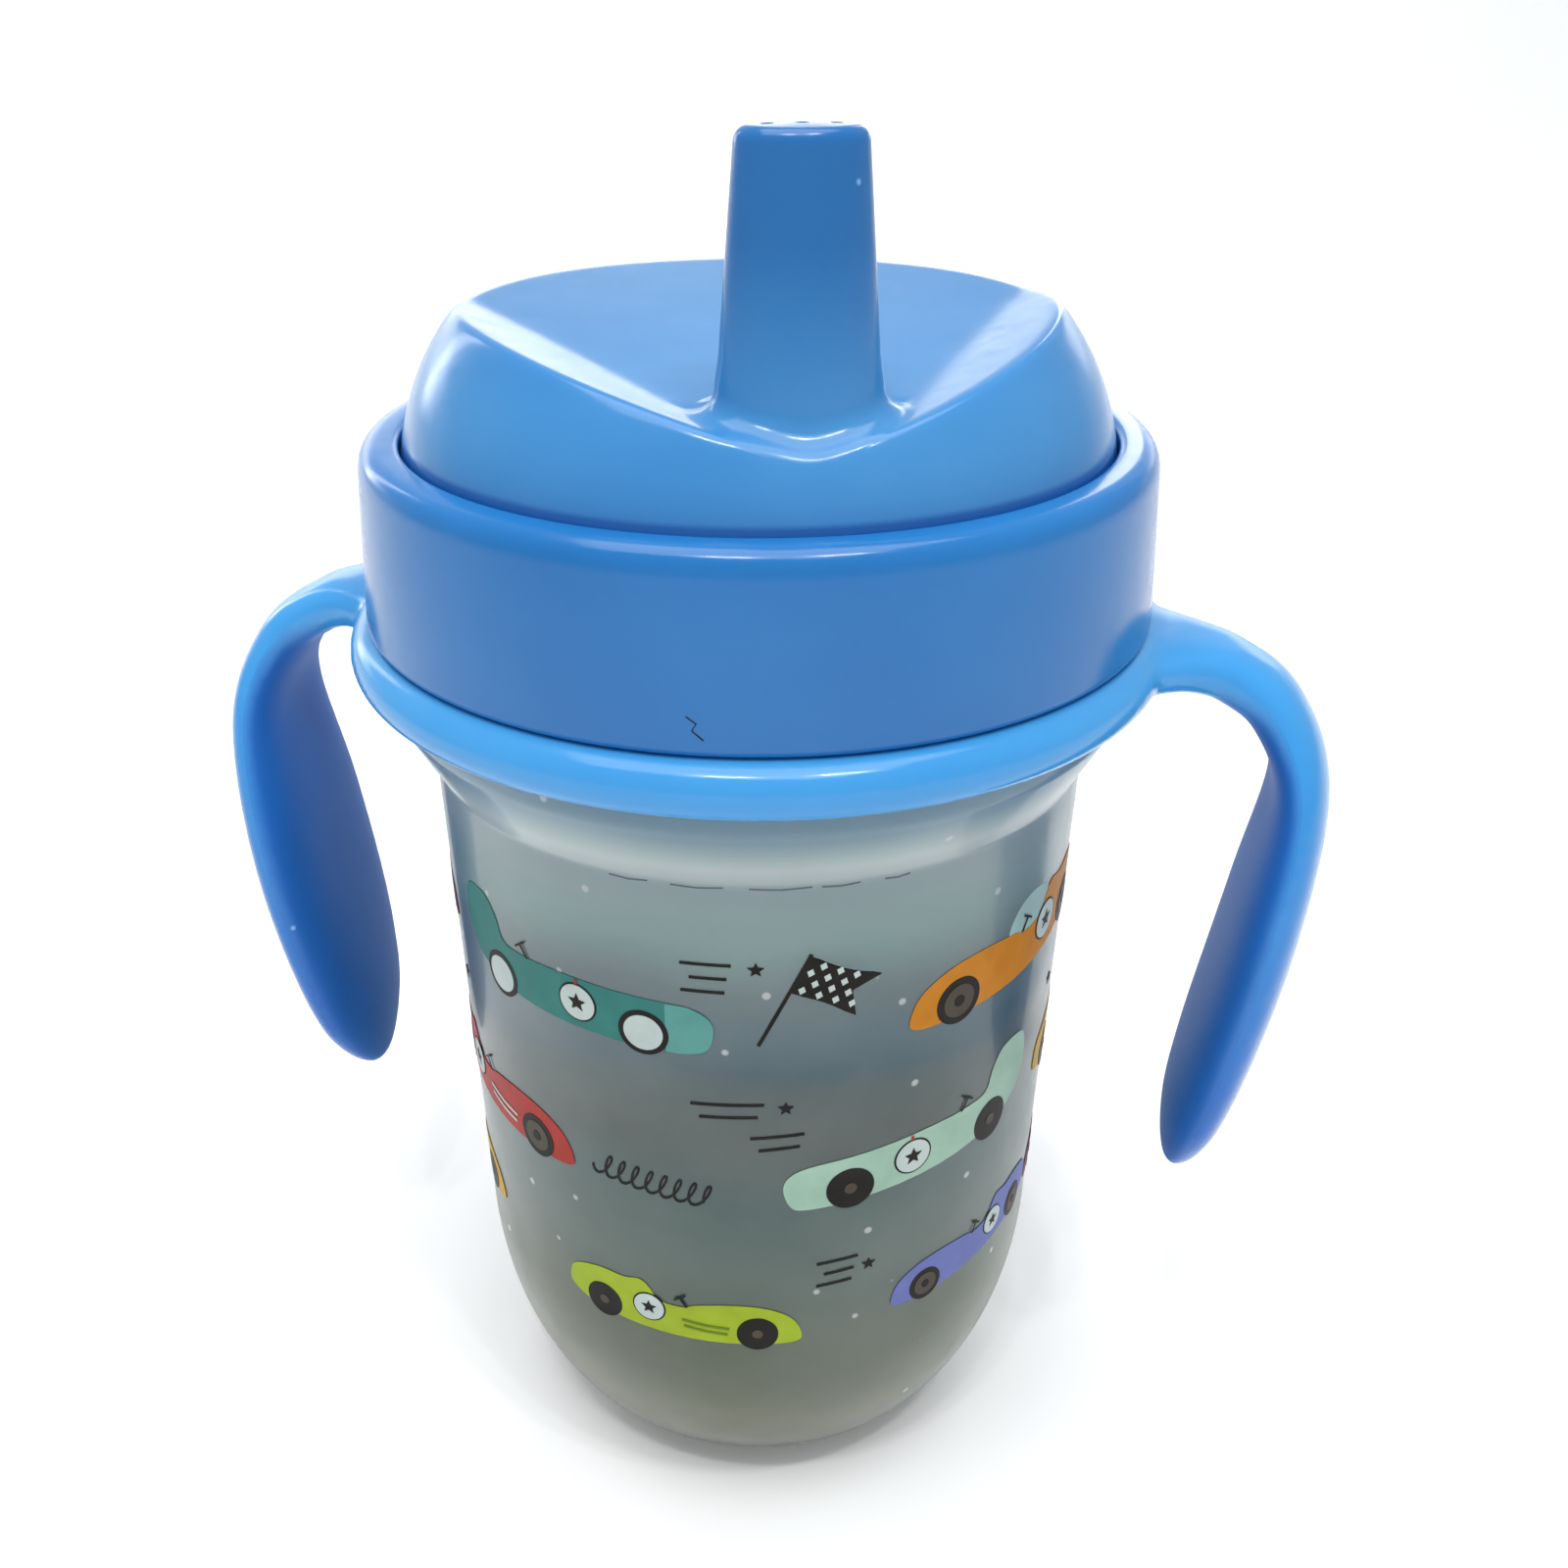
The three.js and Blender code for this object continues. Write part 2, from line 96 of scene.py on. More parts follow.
# The lid
DOME_R = FLANGE_R - 2.0
DOME_SPRING = COLLAR_TOP - 5.7
DOME_RISE = 26.7
DOME_SIDES = 2.6                     # exponents of the dome's superellipse, across and up
DOME_CROWN = 2.07
LID_EDGE = 0.45                      # how softly the dome turns into the scoop
TROUGH_Z = 125.0                     # the scoop behind the spout: its height on the axis,
TROUGH_SLOPE = 0.072                 # its rise to the back,
TROUGH_CURVE = 0.002                 # and its rise to the sides, by the square of the distance
VALLEY_Z = 118.6                     # the V before the spout: its height on the axis,
VALLEY_SPREAD = 0.325                # its rise to the sides,
VALLEY_ROUND = 0.6                   # how round its bottom is,
VALLEY_RISE = 0.073                  # and its rise to the front
STEP_Y = -22.5
STEP_SOFT = 0.35
FLANGE_TOP = COLLAR_TOP - 2.8
FLANGE_BOTTOM = FLANGE_TOP - 1.7
SKIRT_R = MOUTH_R - 0.4
SPOUT_Y = -25.0
SPOUT_FLAT = 0.72
SPOUT_TOP_HALF = 5.2
SPOUT_ROOT_HALF = 6.9
SPOUT_ROOT_Z = 124.0
SPOUT_WALL = 1.5
SPOUT_CAP = 2.2
SPOUT_FILLET = 3.0                   # radius of the flare at the spout's root
SPOUT_EDGE = 1.2
SPOUT_CROWN = 0.1
SIP_HOLE_R = 0.55
SIP_PITCH = 2.7
SKIRT_WALL = 1.6
SOCKET_Y = -24.0
SOCKET_R = 5.2
SOCKET_BORE_R = 3.8
SOCKET_ROOF = 121.0
VENT_Y = 8.0
VENT_R = 3.4
VENT_BORE_R = 2.2
VENT_ROOF = 121.5
VENT_HOLE_R = 0.8

# The valve
PLATE = 1.8
PLATE_LIFT = 0.7                     # how far the plate's top stands above the foot of the lid's skirt
PLUG_R = 3.5
PLUG_BORE_R = 2.4
PLUG_HEIGHT = 7.0
VENT_STEM_R = 1.9
VENT_STEM_HEIGHT = 8.0
TAB_DROP = 9.9

HANDLE_TURN = math.radians(-19)
PHOTO_TURN = math.radians(7.5)       # how far the camera stands round from the spout

ROUND = 240                          # steps round a revolved piece

# ---------------------------------------------------------------- mesh helpers


def new_object(name, verts, faces):
    mesh = bpy.data.meshes.new(name)
    mesh.from_pydata([tuple(float(c) * MM for c in v) for v in verts], [], [tuple(f) for f in faces])
    mesh.validate()
    mesh.update()
    obj = bpy.data.objects.new(name, mesh)
    bpy.context.scene.collection.objects.link(obj)
    return obj


def smooth(obj, angle=35):
    """Smooth shading, with edges sharper than angle kept crisp."""
    mesh = obj.data
    mesh.shade_smooth()
    mesh.set_sharp_from_angle(angle=math.radians(angle))
    return obj


def apply_modifiers(obj):
    depsgraph = bpy.context.evaluated_depsgraph_get()
    done = bpy.data.meshes.new_from_object(obj.evaluated_get(depsgraph))
    obj.modifiers.clear()
    obj.data = done
    return obj


def boolean(obj, other, operation):
    modifier = obj.modifiers.new("boolean", "BOOLEAN")
    modifier.operation = operation
    modifier.solver = "MANIFOLD"
    modifier.object = other
    bpy.context.view_layer.update()
    apply_modifiers(obj)
    bpy.data.objects.remove(other)
    return obj


def rounded(points, steps=5):
    """An outline of (r, z, fillet) corners with each fillet drawn as an arc-like curve."""
    out = []
    for i, (r, z, fillet) in enumerate(points):
        here = np.array([r, z])
        if fillet == 0:
            out.append(here)
            continue
        before = np.array(points[i - 1][:2]) - here
        after = np.array(points[(i + 1) % len(points)][:2]) - here
        start = here + before * min(0.49, fillet / np.linalg.norm(before))
        end = here + after * min(0.49, fillet / np.linalg.norm(after))
        for k in range(steps + 1):
            t = k / steps
            out.append((1 - t) ** 2 * start + 2 * t * (1 - t) * here + t ** 2 * end)
    return [tuple(p) for p in out]


def ellipse_arc(centre_r, centre_z, half_r, half_z, start, end, steps):
    angles = np.radians(np.linspace(start, end, steps + 1))
    return [(centre_r + half_r * math.cos(a), centre_z + half_z * math.sin(a)) for a in angles]


def revolve(name, profile, closed=False, steps=ROUND, flat=1.0, offset_y=0.0):
    """A solid of revolution. An open profile starts and ends on the axis."""
    angles = np.arange(steps) * 2 * math.pi / steps
    verts, rows = [], []
    for r, z in profile:
        if r < 1e-6:
            rows.append([len(verts)] * steps)
            verts.append((0, offset_y, z))
            continue
        rows.append(list(range(len(verts), len(verts) + steps)))
        verts += [(r * math.cos(a), offset_y + flat * r * math.sin(a), z) for a in angles]
    pairs = list(zip(rows, rows[1:] + rows[:1])) if closed else list(zip(rows, rows[1:]))
    return new_object(name, verts, skin(pairs, steps))


def skin(pairs, count):
    faces = []
    for low, high in pairs:
        for j in range(count):
            k = (j + 1) % count
            corners = [low[j], low[k], high[k], high[j]]
            faces.append(list(dict.fromkeys(corners)))
    return [f for f in faces if len(f) > 2]


def loft(name, rings):
    """Skins equal rings of points, with a flat cap at each end."""
    count = len(rings[0])
    verts = [v for ring in rings for v in ring]
    rows = [list(range(i * count, (i + 1) * count)) for i in range(len(rings))]
    faces = skin(list(zip(rows, rows[1:])), count)
    faces += [rows[0][::-1], rows[-1]]
    return new_object(name, verts, faces)


def outward(obj):
    """Turns the faces to look out, judged by the sign of the volume."""
    mesh = obj.data
    volume = 0.0
    mesh.calc_loop_triangles()
    co = np.array([v.co for v in mesh.vertices])
    for tri in mesh.loop_triangles:
        a, b, c = co[list(tri.vertices)]
        volume += np.dot(a, np.cross(b, c))
    if volume < 0:
        mesh.flip_normals()
    return obj


def catmull(points, steps):
    """A smooth curve through rows of numbers, as a list of rows."""
    p = np.array(points, float)
    p = np.vstack([2 * p[0] - p[1], p, 2 * p[-1] - p[-2]])
    out = []
    for i in range(1, len(p) - 2):
        for k in range(steps):
            t = k / steps
            out.append(0.5 * (2 * p[i] + (p[i + 1] - p[i - 1]) * t
                              + (2 * p[i - 1] - 5 * p[i] + 4 * p[i + 1] - p[i + 2]) * t ** 2
                              + (3 * p[i] - p[i - 1] - 3 * p[i + 1] + p[i + 2]) * t ** 3))
    out.append(p[-2])
    return out


# ---------------------------------------------------------------- material helpers


def link(tree, source, target):
    tree.links.new(source, target)


def node(tree, kind, **values):
    made = tree.nodes.new(kind)
    for key, value in values.items():
        if hasattr(made, key):
            setattr(made, key, value)
        else:
            made.inputs[key.replace("_", " ")].default_value = value
    return made


def ramp(tree, source, stops):
    made = tree.nodes.new("ShaderNodeValToRGB")
    elements = made.color_ramp.elements
    while len(elements) < len(stops):
        elements.new(0.5)
    for element, (position, value) in zip(elements, stops):
        element.position = position
        element.color = value if isinstance(value, tuple) else (value, value, value, 1)
    link(tree, source, made.inputs["Fac"])
    return made.outputs["Color"]


def noise(tree, scale, detail=3.0, roughness=0.55):
    coordinates = tree.nodes.new("ShaderNodeTexCoord")
    made = node(tree, "ShaderNodeTexNoise", Scale=scale, Detail=detail, Roughness=roughness)
    link(tree, coordinates.outputs["Object"], made.inputs["Vector"])
    return made.outputs["Fac"]


def srgb(red, green, blue):
    def linear(c):
        c /= 255
        return c / 12.92 if c <= 0.04045 else ((c + 0.055) / 1.055) ** 2.4
    return (linear(red), linear(green), linear(blue), 1.0)


def mix(tree, factor, first, second):
    made = node(tree, "ShaderNodeMix", data_type="RGBA")
    for socket, value in ((made.inputs[0], factor), (made.inputs[6], first), (made.inputs[7], second)):
        if isinstance(value, (tuple, float)):
            socket.default_value = value
        else:
            link(tree, value, socket)
    return made.outputs[2]


def specks(tree, density, size):
    """Small scattered spots: 1 on a spot and 0 elsewhere."""
    coordinates = tree.nodes.new("ShaderNodeTexCoord")
    cells = node(tree, "ShaderNodeTexVoronoi", Scale=density)
    link(tree, coordinates.outputs["Object"], cells.inputs["Vector"])
    return ramp(tree, cells.outputs["Distance"], [(size, 1.0), (size * 1.6, 0.0)])


def start_material(name):
    material = bpy.data.materials.new(name)
    material.use_nodes = True
    tree = material.node_tree
    return material, tree, tree.nodes["Principled BSDF"]


def add_bump(tree, shader, height, strength, distance):
    bump = node(tree, "ShaderNodeBump", Strength=strength, Distance=distance)
    link(tree, height, bump.inputs["Height"])
    link(tree, bump.outputs["Normal"], shader.inputs["Normal"])


def blue_plastic(name, deep, bright, roughness, inner=None, tip=None, foot=None):
    """Glossy moulded polypropylene: cloudy colour, flow marks, a faint orange peel and handling wear.

    With inner given, faces turned towards the cup's axis are painted that deeper colour as painted shade,
    and are duller; faces low down lean to it too, as painted shade.
    With tip given, the colour deepens to it up the spout as painted shade, and with foot given, to that
    at the seam with the collar as a painted contact shadow.
    """
    material, tree, shader = start_material(name)
    clouds = ramp(tree, noise(tree, 28.0), [(0.35, 0.0), (0.7, 1.0)])
    colour = mix(tree, clouds, deep, bright)
    gloss = ramp(tree, noise(tree, 340.0, 5.0, 0.7), [(0.42, roughness), (0.75, roughness + 0.1)])
    if inner:
        # Painted shade: faces turned in towards the axis, and faces low down, are painted the deeper inner
        # colour.
        painted_inner_shade = facing_axis(tree)
        painted_low_shade = between(tree, object_height(tree), 92, 48)
        colour = mix(tree, painted_inner_shade, mix(tree, painted_low_shade, colour, inner), inner)
        gloss = mix(tree, painted_inner_shade, gloss, (0.6, 0.6, 0.6, 1.0))
    # Painted shade: the colour deepens up the spout.
    if tip:
        colour = mix(tree, between(tree, object_height(tree), 124, 137), colour, tip)
    # Painted shadow: the colour deepens to the foot colour where the dome meets the collar.
    if foot:
        painted_seam_shade = between(tree, object_height(tree), COLLAR_TOP + 0.75, COLLAR_TOP + 0.25)
        colour = mix(tree, painted_seam_shade, colour, foot)
    dust = specks(tree, 70.0, 0.018)
    link(tree, mix(tree, dust, colour, srgb(130, 180, 230)), shader.inputs["Base Color"])
    link(tree, gloss, shader.inputs["Roughness"])
    add_bump(tree, shader, noise(tree, 420.0, 2.0), 0.03, 0.0003)
    shader.inputs["IOR"].default_value = 1.46
    shader.inputs["Subsurface Weight"].default_value = 0.25
    shader.inputs["Subsurface Radius"].default_value = (0.1, 0.5, 1.0)
    shader.inputs["Subsurface Scale"].default_value = 0.003
    return material


def object_height(tree):
    """Height above the base, in metres."""
    split = tree.nodes.new("ShaderNodeSeparateXYZ")
    link(tree, tree.nodes.new("ShaderNodeTexCoord").outputs["Object"], split.inputs[0])
    return split.outputs["Z"]


def between(tree, height, start, end):
    """0 at the height start and 1 at the height end, both in millimetres, and even between them."""
    made = node(tree, "ShaderNodeMapRange", From_Min=start * MM, From_Max=end * MM)
    link(tree, height, made.inputs["Value"])
    return made.outputs["Result"]


def facing_axis(tree):
    """1 where a face looks in towards the cup's axis, falling to 0 where it looks out."""
    place = tree.nodes.new("ShaderNodeTexCoord").outputs["Object"]
    level = node(tree, "ShaderNodeVectorMath", operation="MULTIPLY")
    level.inputs[1].default_value = (1, 1, 0)
    link(tree, place, level.inputs[0])
    radial = node(tree, "ShaderNodeVectorMath", operation="NORMALIZE")
    link(tree, level.outputs["Vector"], radial.inputs[0])
    dot = node(tree, "ShaderNodeVectorMath", operation="DOT_PRODUCT")
    link(tree, radial.outputs["Vector"], dot.inputs[0])
    link(tree, tree.nodes.new("ShaderNodeTexCoord").outputs["Normal"], dot.inputs[1])
    half = node(tree, "ShaderNodeMath", operation="MULTIPLY_ADD")
    link(tree, dot.outputs["Value"], half.inputs[0])
    half.inputs[1].default_value = -0.5
    half.inputs[2].default_value = 0.5
    return ramp(tree, half.outputs["Value"], [(0.45, 0.0), (0.82, 1.0)])


# The tint of the frosted wall by height in millimetres: the wall in cloudy bands of its milky tint
# with painted shade and painted reflections of what shows through it, the flare in even ones painted
# lighter, with a painted highlight along the crease
WALL_TINT_AND_PAINTED_SHADE = [
    (0, srgb(114, 113, 77)), (11, srgb(109, 113, 78)), (16, srgb(122, 128, 93)), (21, srgb(108, 119, 91)),
    (26, srgb(101, 113, 85)), (36, srgb(109, 131, 122)), (46, srgb(84, 116, 112)), (53, srgb(89, 104, 101)),
    (58, srgb(87, 108, 107)), (61, srgb(71, 109, 124)), (66, srgb(96, 130, 143)), (71, srgb(120, 143, 148)),
    (77, srgb(159, 193, 190)),
]
# Painted light: the flare is painted lighter, with a painted highlight along the crease near 84 to 87 mm.
FLARE_TINT_AND_PAINTED_HIGHLIGHT = [
    (80, srgb(176, 201, 203)), (83.4, srgb(185, 208, 213)), (84.4, srgb(220, 234, 235)),
    (86, srgb(235, 245, 245)), (87, srgb(210, 232, 230)), (88.3, srgb(182, 207, 212)),
    (89.8, srgb(140, 177, 197)), (92, srgb(135, 178, 201)),
]
WAVER = 14.0                         # how far the cloudy bands wander up and down


def tint_by_height(tree, height, tints, offset=0.0):
    """A ramp of tints over the height, which is first turned into a share of the tallest one."""
    tallest = max(z for z, _ in tints) + offset
    share = node(tree, "ShaderNodeMath", operation="DIVIDE")
    link(tree, height, share.inputs[0])
    share.inputs[1].default_value = tallest * MM
    return ramp(tree, share.outputs["Value"], [((z + offset) / tallest, tint) for z, tint in tints])


def frosted_plastic():
    """Frosted translucent polypropylene: milky tints in cloudy bands with painted shade and painted
    reflections, a painted highlight along the crease, specks and a matt mould skin.
    """
    material, tree, shader = start_material("frosted_plastic")
    height = object_height(tree)
    wandering = node(tree, "ShaderNodeMath", operation="MULTIPLY_ADD")
    link(tree, noise(tree, 22.0, 2.0), wandering.inputs[0])
    wandering.inputs[1].default_value = WAVER * MM
    link(tree, height, wandering.inputs[2])
    # Milky tint with painted shade and painted reflections of what shows through the wall.
    wall = tint_by_height(tree, wandering.outputs["Value"], WALL_TINT_AND_PAINTED_SHADE, WAVER / 2)
    # Painted highlight along the crease, and the flare painted lighter than its own tint.
    flare = tint_by_height(tree, height, FLARE_TINT_AND_PAINTED_HIGHLIGHT)
    bands_and_painted_light = mix(tree, between(tree, height, 77, 81), wall, flare)
    clouds = ramp(tree, noise(tree, 30.0, 4.0), [(0.4, 0.0), (0.75, 0.3)])
    colour = mix(tree, clouds, bands_and_painted_light, srgb(196, 206, 204))
    dust = specks(tree, 180.0, 0.055)
    link(tree, mix(tree, dust, colour, srgb(245, 248, 248)), shader.inputs["Base Color"])
    frost = ramp(tree, noise(tree, 130.0, 4.0), [(0.35, 0.28), (0.7, 0.40)])
    link(tree, frost, shader.inputs["Roughness"])
    add_bump(tree, shader, noise(tree, 900.0, 3.0), 0.08, 0.0003)
    shader.inputs["IOR"].default_value = 1.45
    shader.inputs["Transmission Weight"].default_value = 0.6
    shader.inputs["Coat Weight"].default_value = 0.3
    shader.inputs["Coat Roughness"].default_value = 0.08
    return material


def silicone():
    material, tree, shader = start_material("silicone")
    clouds = noise(tree, 60.0)
    link(tree, mix(tree, clouds, srgb(214, 220, 224), srgb(238, 241, 243)), shader.inputs["Base Color"])
    add_bump(tree, shader, noise(tree, 700.0), 0.15, 0.0003)
    shader.inputs["Roughness"].default_value = 0.5
    shader.inputs["Subsurface Weight"].default_value = 0.3
    shader.inputs["Subsurface Scale"].default_value = 0.003
    return material


def ink(name, colour):
    """Printed ink: nearly even, with a little mottle and small pinholes."""
    material, tree, shader = start_material(name)
    mottle = ramp(tree, noise(tree, 260.0, 4.0), [(0.3, 0.0), (0.8, 1.0)])
    lighter = tuple(min(1.0, c * 1.22 + 0.008) for c in colour[:3]) + (1.0,)
    link(tree, mix(tree, mottle, colour, lighter), shader.inputs["Base Color"])
    add_bump(tree, shader, noise(tree, 800.0), 0.08, 0.0002)
    shader.inputs["Roughness"].default_value = 0.45
    shader.inputs["Specular IOR Level"].default_value = 0.12
    return material


# tip: painted shade up the spout; foot: painted contact shadow at the seam with the collar.
BLUE_LID = blue_plastic("lid_blue", srgb(54, 129, 190), srgb(70, 141, 198), 0.16,
                        tip=srgb(36, 106, 168), foot=srgb(30, 98, 172))
BLUE_COLLAR = blue_plastic("collar_blue", srgb(26, 107, 174), srgb(37, 117, 183), 0.16)
# inner: painted shade on the inward and lower faces of the handles.
BLUE_HANDLE = blue_plastic("handle_blue", srgb(60, 150, 214), srgb(76, 160, 220), 0.15,
                           inner=srgb(18, 102, 188))
FROSTED = frosted_plastic()
SILICONE = silicone()


def finish_piece(obj, material, body):
    obj.data.materials.clear()
    obj.data.materials.append(material)
    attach(obj, body)
    return obj


# ---------------------------------------------------------------- cup


def thread(name, root_r, crest_r, start_z):
    """The helical ridge of the screw thread, fading in and out at its ends."""
    steps = int(THREAD_TURNS * ROUND)
    fade = 16
    rings = []
    for i in range(steps + 1):
        angle = 2 * math.pi * i / ROUND
        z = start_z + PITCH * i / ROUND
        grown = min(1.0, (i + 1) / fade, (steps - i + 1) / fade)
        crest = root_r + (crest_r - root_r) * math.sin(grown * math.pi / 2)
        section = [(root_r, -0.85), (crest - 0.15 * np.sign(crest_r - root_r), -0.42), (crest, -0.25),
                   (crest, 0.25), (crest - 0.15 * np.sign(crest_r - root_r), 0.42), (root_r, 0.85)]
        rings.append([(r * math.cos(angle), r * math.sin(angle), z + up) for r, up in section])
    return outward(loft(name, rings))


def make_cup():
    foot = -math.degrees(math.asin(WALL_START / BASE_HEIGHT))
    outside = [(0, 0), (BASE_CENTRE_R, 0)]
    outside += ellipse_arc(BASE_CENTRE_R, WALL_START, BASE_WIDTH, BASE_HEIGHT, foot, 0, 40)
    inside = ellipse_arc(BASE_CENTRE_R, WALL_START, BASE_WIDTH - WALL, BASE_HEIGHT - WALL, 0, foot + 8, 40)
    upper = rounded([
        (WALL_R + 0.001, WALL_START + 1, 0),
        (CREASE_R, CREASE_Z, 0.3),
        (LEDGE_R, LEDGE_Z - LEDGE_THICKNESS, 0.6),
        (LEDGE_R, LEDGE_Z, 0.3),
        (BAND_R, LEDGE_Z, 0.2),
        (BAND_R, COLLAR_BOTTOM - 0.4, 0.3),
        (NECK_R, COLLAR_BOTTOM + 0.4, 0.3),
        (NECK_R, RIM_Z, 0.6),
        (MOUTH_R, RIM_Z, 0.6),
        (MOUTH_R, COLLAR_BOTTOM - 1.0, 1.5),
        (MOUTH_R + 1.2, LEDGE_Z, 1.5),
        (CREASE_R - WALL, CREASE_Z, 1.5),
        (WALL_R - WALL, WALL_START + 1, 0),
    ])
    cup = outward(revolve("cup_shell", outside + upper + inside + [(0, WALL + 0.3)]))
    boolean(cup, thread("neck_thread", NECK_R - 0.4, BAND_R, THREAD_START), "UNION")
    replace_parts(finish_piece(smooth(cup), FROSTED, "cup"), "cup_body")


# ---------------------------------------------------------------- handle ring

# One handle from its root to its tip: reach, height, half width, half thickness
HANDLE = [
    (37.8, 95.9, 10.0, 2.5),
    (40.6, 95.8, 8.2, 2.5),
    (43.4, 95.5, 6.4, 2.5),
    (47.0, 94.4, 5.5, 2.6),
    (51.8, 90.7, 6.3, 2.8),
    (54.7, 82.5, 9.0, 3.2),
    (53.2, 67.5, 11.5, 3.9),
    (50.4, 50.5, 10.6, 3.8),
    (47.6, 34.4, 6.0, 2.5),
]
HANDLE_SIDES = 64
TIP_START = 0.92
ROOT_SQUARENESS = 0.72               # below 1 the section has squarer corners
HOLLOW = 0.8                         # how deep the inner face of the paddle is dished
BEAD = 2.8                           # half the thickness of the ring


def ease(value, start, end):
    """0 before start and 1 after end, with a smooth turn between."""
    share = np.clip((value - start) / (end - start), 0, 1)
    return share * share * (3 - 2 * share)


def handle(name, turn):
    """One drooping handle: an oval section swept down the stations, wide and dished at the paddle."""
    stations = catmull(HANDLE, 18)
    centres = np.array([(s[0], s[1]) for s in stations])
    along = np.gradient(centres, axis=0)
    along /= np.linalg.norm(along, axis=1)[:, None]
    angles = 2 * math.pi * np.arange(HANDLE_SIDES) / HANDLE_SIDES
    cos, sin = np.cos(angles), np.sin(angles)
    rings = []
    for i, (reach, height, half_width, half_thick) in enumerate(stations):
        t = i / (len(stations) - 1)
        into_tip = max(0.0, (t - TIP_START) / (1 - TIP_START))
        shrink = math.sqrt(max(0.0009, 1 - into_tip ** 2))
        squareness = ROOT_SQUARENESS + (1 - ROOT_SQUARENESS) * ease(t, 0.35, 0.6)
        share = np.sign(cos) * np.abs(cos) ** squareness
        across = half_width * shrink * share
        through = half_thick * shrink * np.sign(sin) * np.abs(sin) ** squareness
        dish = HOLLOW * ease(t, 0.48, 0.63) * (1 - ease(t, 0.8, 0.95))
        through += np.where(sin < 0, dish * (1 - share ** 2) ** 2, 0)
        r = reach - along[i][1] * through
        z = height + along[i][0] * through
        x = r * math.cos(turn) - across * math.sin(turn)
        y = r * math.sin(turn) + across * math.cos(turn)
        rings.append(np.stack([x, y, z], -1))
    return outward(loft(name, rings))


def make_handle_ring():
    centre_z = RING_TOP - BEAD
    section = rounded([(BAND_R + 0.4, centre_z - BEAD, 0.4), (RING_R - 2 * BEAD, centre_z - BEAD, 0)])
    section += ellipse_arc(RING_R - BEAD, centre_z, BEAD, BEAD, -90, 90, 24)
    section += rounded([(RING_R - 2 * BEAD, RING_TOP, 0), (BAND_R + 0.4, RING_TOP, 0.4)])
    ring = outward(revolve("handle_ring_moulding", section, closed=True))
    for facing in (0, math.pi):
        boolean(ring, handle("handle", facing + HANDLE_TURN), "UNION")
    remesh = ring.modifiers.new("remesh", "REMESH")
    remesh.mode = "VOXEL"
    remesh.voxel_size = 0.42 * MM
    relax = ring.modifiers.new("relax", "SMOOTH")
    relax.factor = 0.5
    relax.iterations = 22
    bpy.context.view_layer.update()
    apply_modifiers(ring)
    ring.data.shade_smooth()
    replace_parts(finish_piece(ring, BLUE_HANDLE, "handles"), "handle_ring")


# ---------------------------------------------------------------- collar


def make_collar():
    opening = COLLAR_TOP - 2.5
    step = FLANGE_BOTTOM - 0.3
    bore = FLANGE_R - 0.5
    pocket = FLANGE_R + 0.3
    seat = RING_TOP + 0.05
    section = rounded([
        (bore + 0.6, seat, 0.2),
        (COLLAR_R, seat, 0.9),
        (COLLAR_TOP_R, COLLAR_TOP, 2.5),
        (DOME_R - 0.3, COLLAR_TOP, 0.8),
        (DOME_R - 0.05, opening, 0.2),
        (pocket, opening, 0.1),
        (pocket, step, 0.1),
        (bore, step - 0.8, 0.2),
        (bore, COLLAR_BOTTOM + 0.8, 0.2),
    ], steps=8)
    collar = outward(revolve("screw_collar_ring", section, closed=True))
    start = THREAD_START - THREAD_DROP
    boolean(collar, thread("collar_thread", bore + 0.4, NECK_R + 0.5, start), "UNION")
    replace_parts(finish_piece(smooth(collar), BLUE_COLLAR, "collar"), "screw_collar")


# ---------------------------------------------------------------- lid


def scoop_height(x, y):
    """Height of the scooped face: a shallow trough, and in front of the step only the wide V."""
    trough = TROUGH_Z + TROUGH_SLOPE * y + TROUGH_CURVE * x ** 2
    valley = VALLEY_Z + np.hypot(VALLEY_SPREAD * x, VALLEY_ROUND) - VALLEY_RISE * y
    fade = 1 / (1 + np.exp(-(y - STEP_Y) / STEP_SOFT))
    trough = valley + (trough - valley) * np.where(trough > valley, fade, 1.0)
    return soft_max(trough, valley, 0.2)


def dome_height(x, y):
    """Height of the whole dome, as it would be without the scoop."""
    share = np.clip(np.hypot(x, y) / DOME_R, 0, 1)
    climb = np.sqrt(1 - share ** DOME_SIDES)
    return DOME_SPRING + DOME_RISE * climb ** (2 / DOME_CROWN)


def lid_height(x, y):
    return soft_min(dome_height(x, y), scoop_height(x, y), LID_EDGE)


def soft_max(a, b, width):
    return width * np.logaddexp(a / width, b / width)


def soft_min(a, b, width):
    return -soft_max(-a, -b, width)


def dome_grid(inset, drop, edge, rows, steps):
    """Rings of points over the dome, from its spring line up to its middle, cut down to the scoop."""
    t = np.linspace(0, 1, rows)
    angle = (math.pi / 2) * t
    r = (DOME_R - inset) * np.cos(angle) ** (2 / DOME_SIDES)
    z = DOME_SPRING + (DOME_RISE - inset) * np.sin(angle) ** (2 / DOME_CROWN)
    r[-1] = 0.02
    a = np.arange(steps) * 2 * math.pi / steps
    x, y = np.outer(r, np.cos(a)), np.outer(r, np.sin(a))
    height = soft_min(np.repeat(z[:, None], steps, 1), scoop_height(x, y) - drop, edge)
    height[0] = z[0]
    return np.stack([x, y, height], -1)


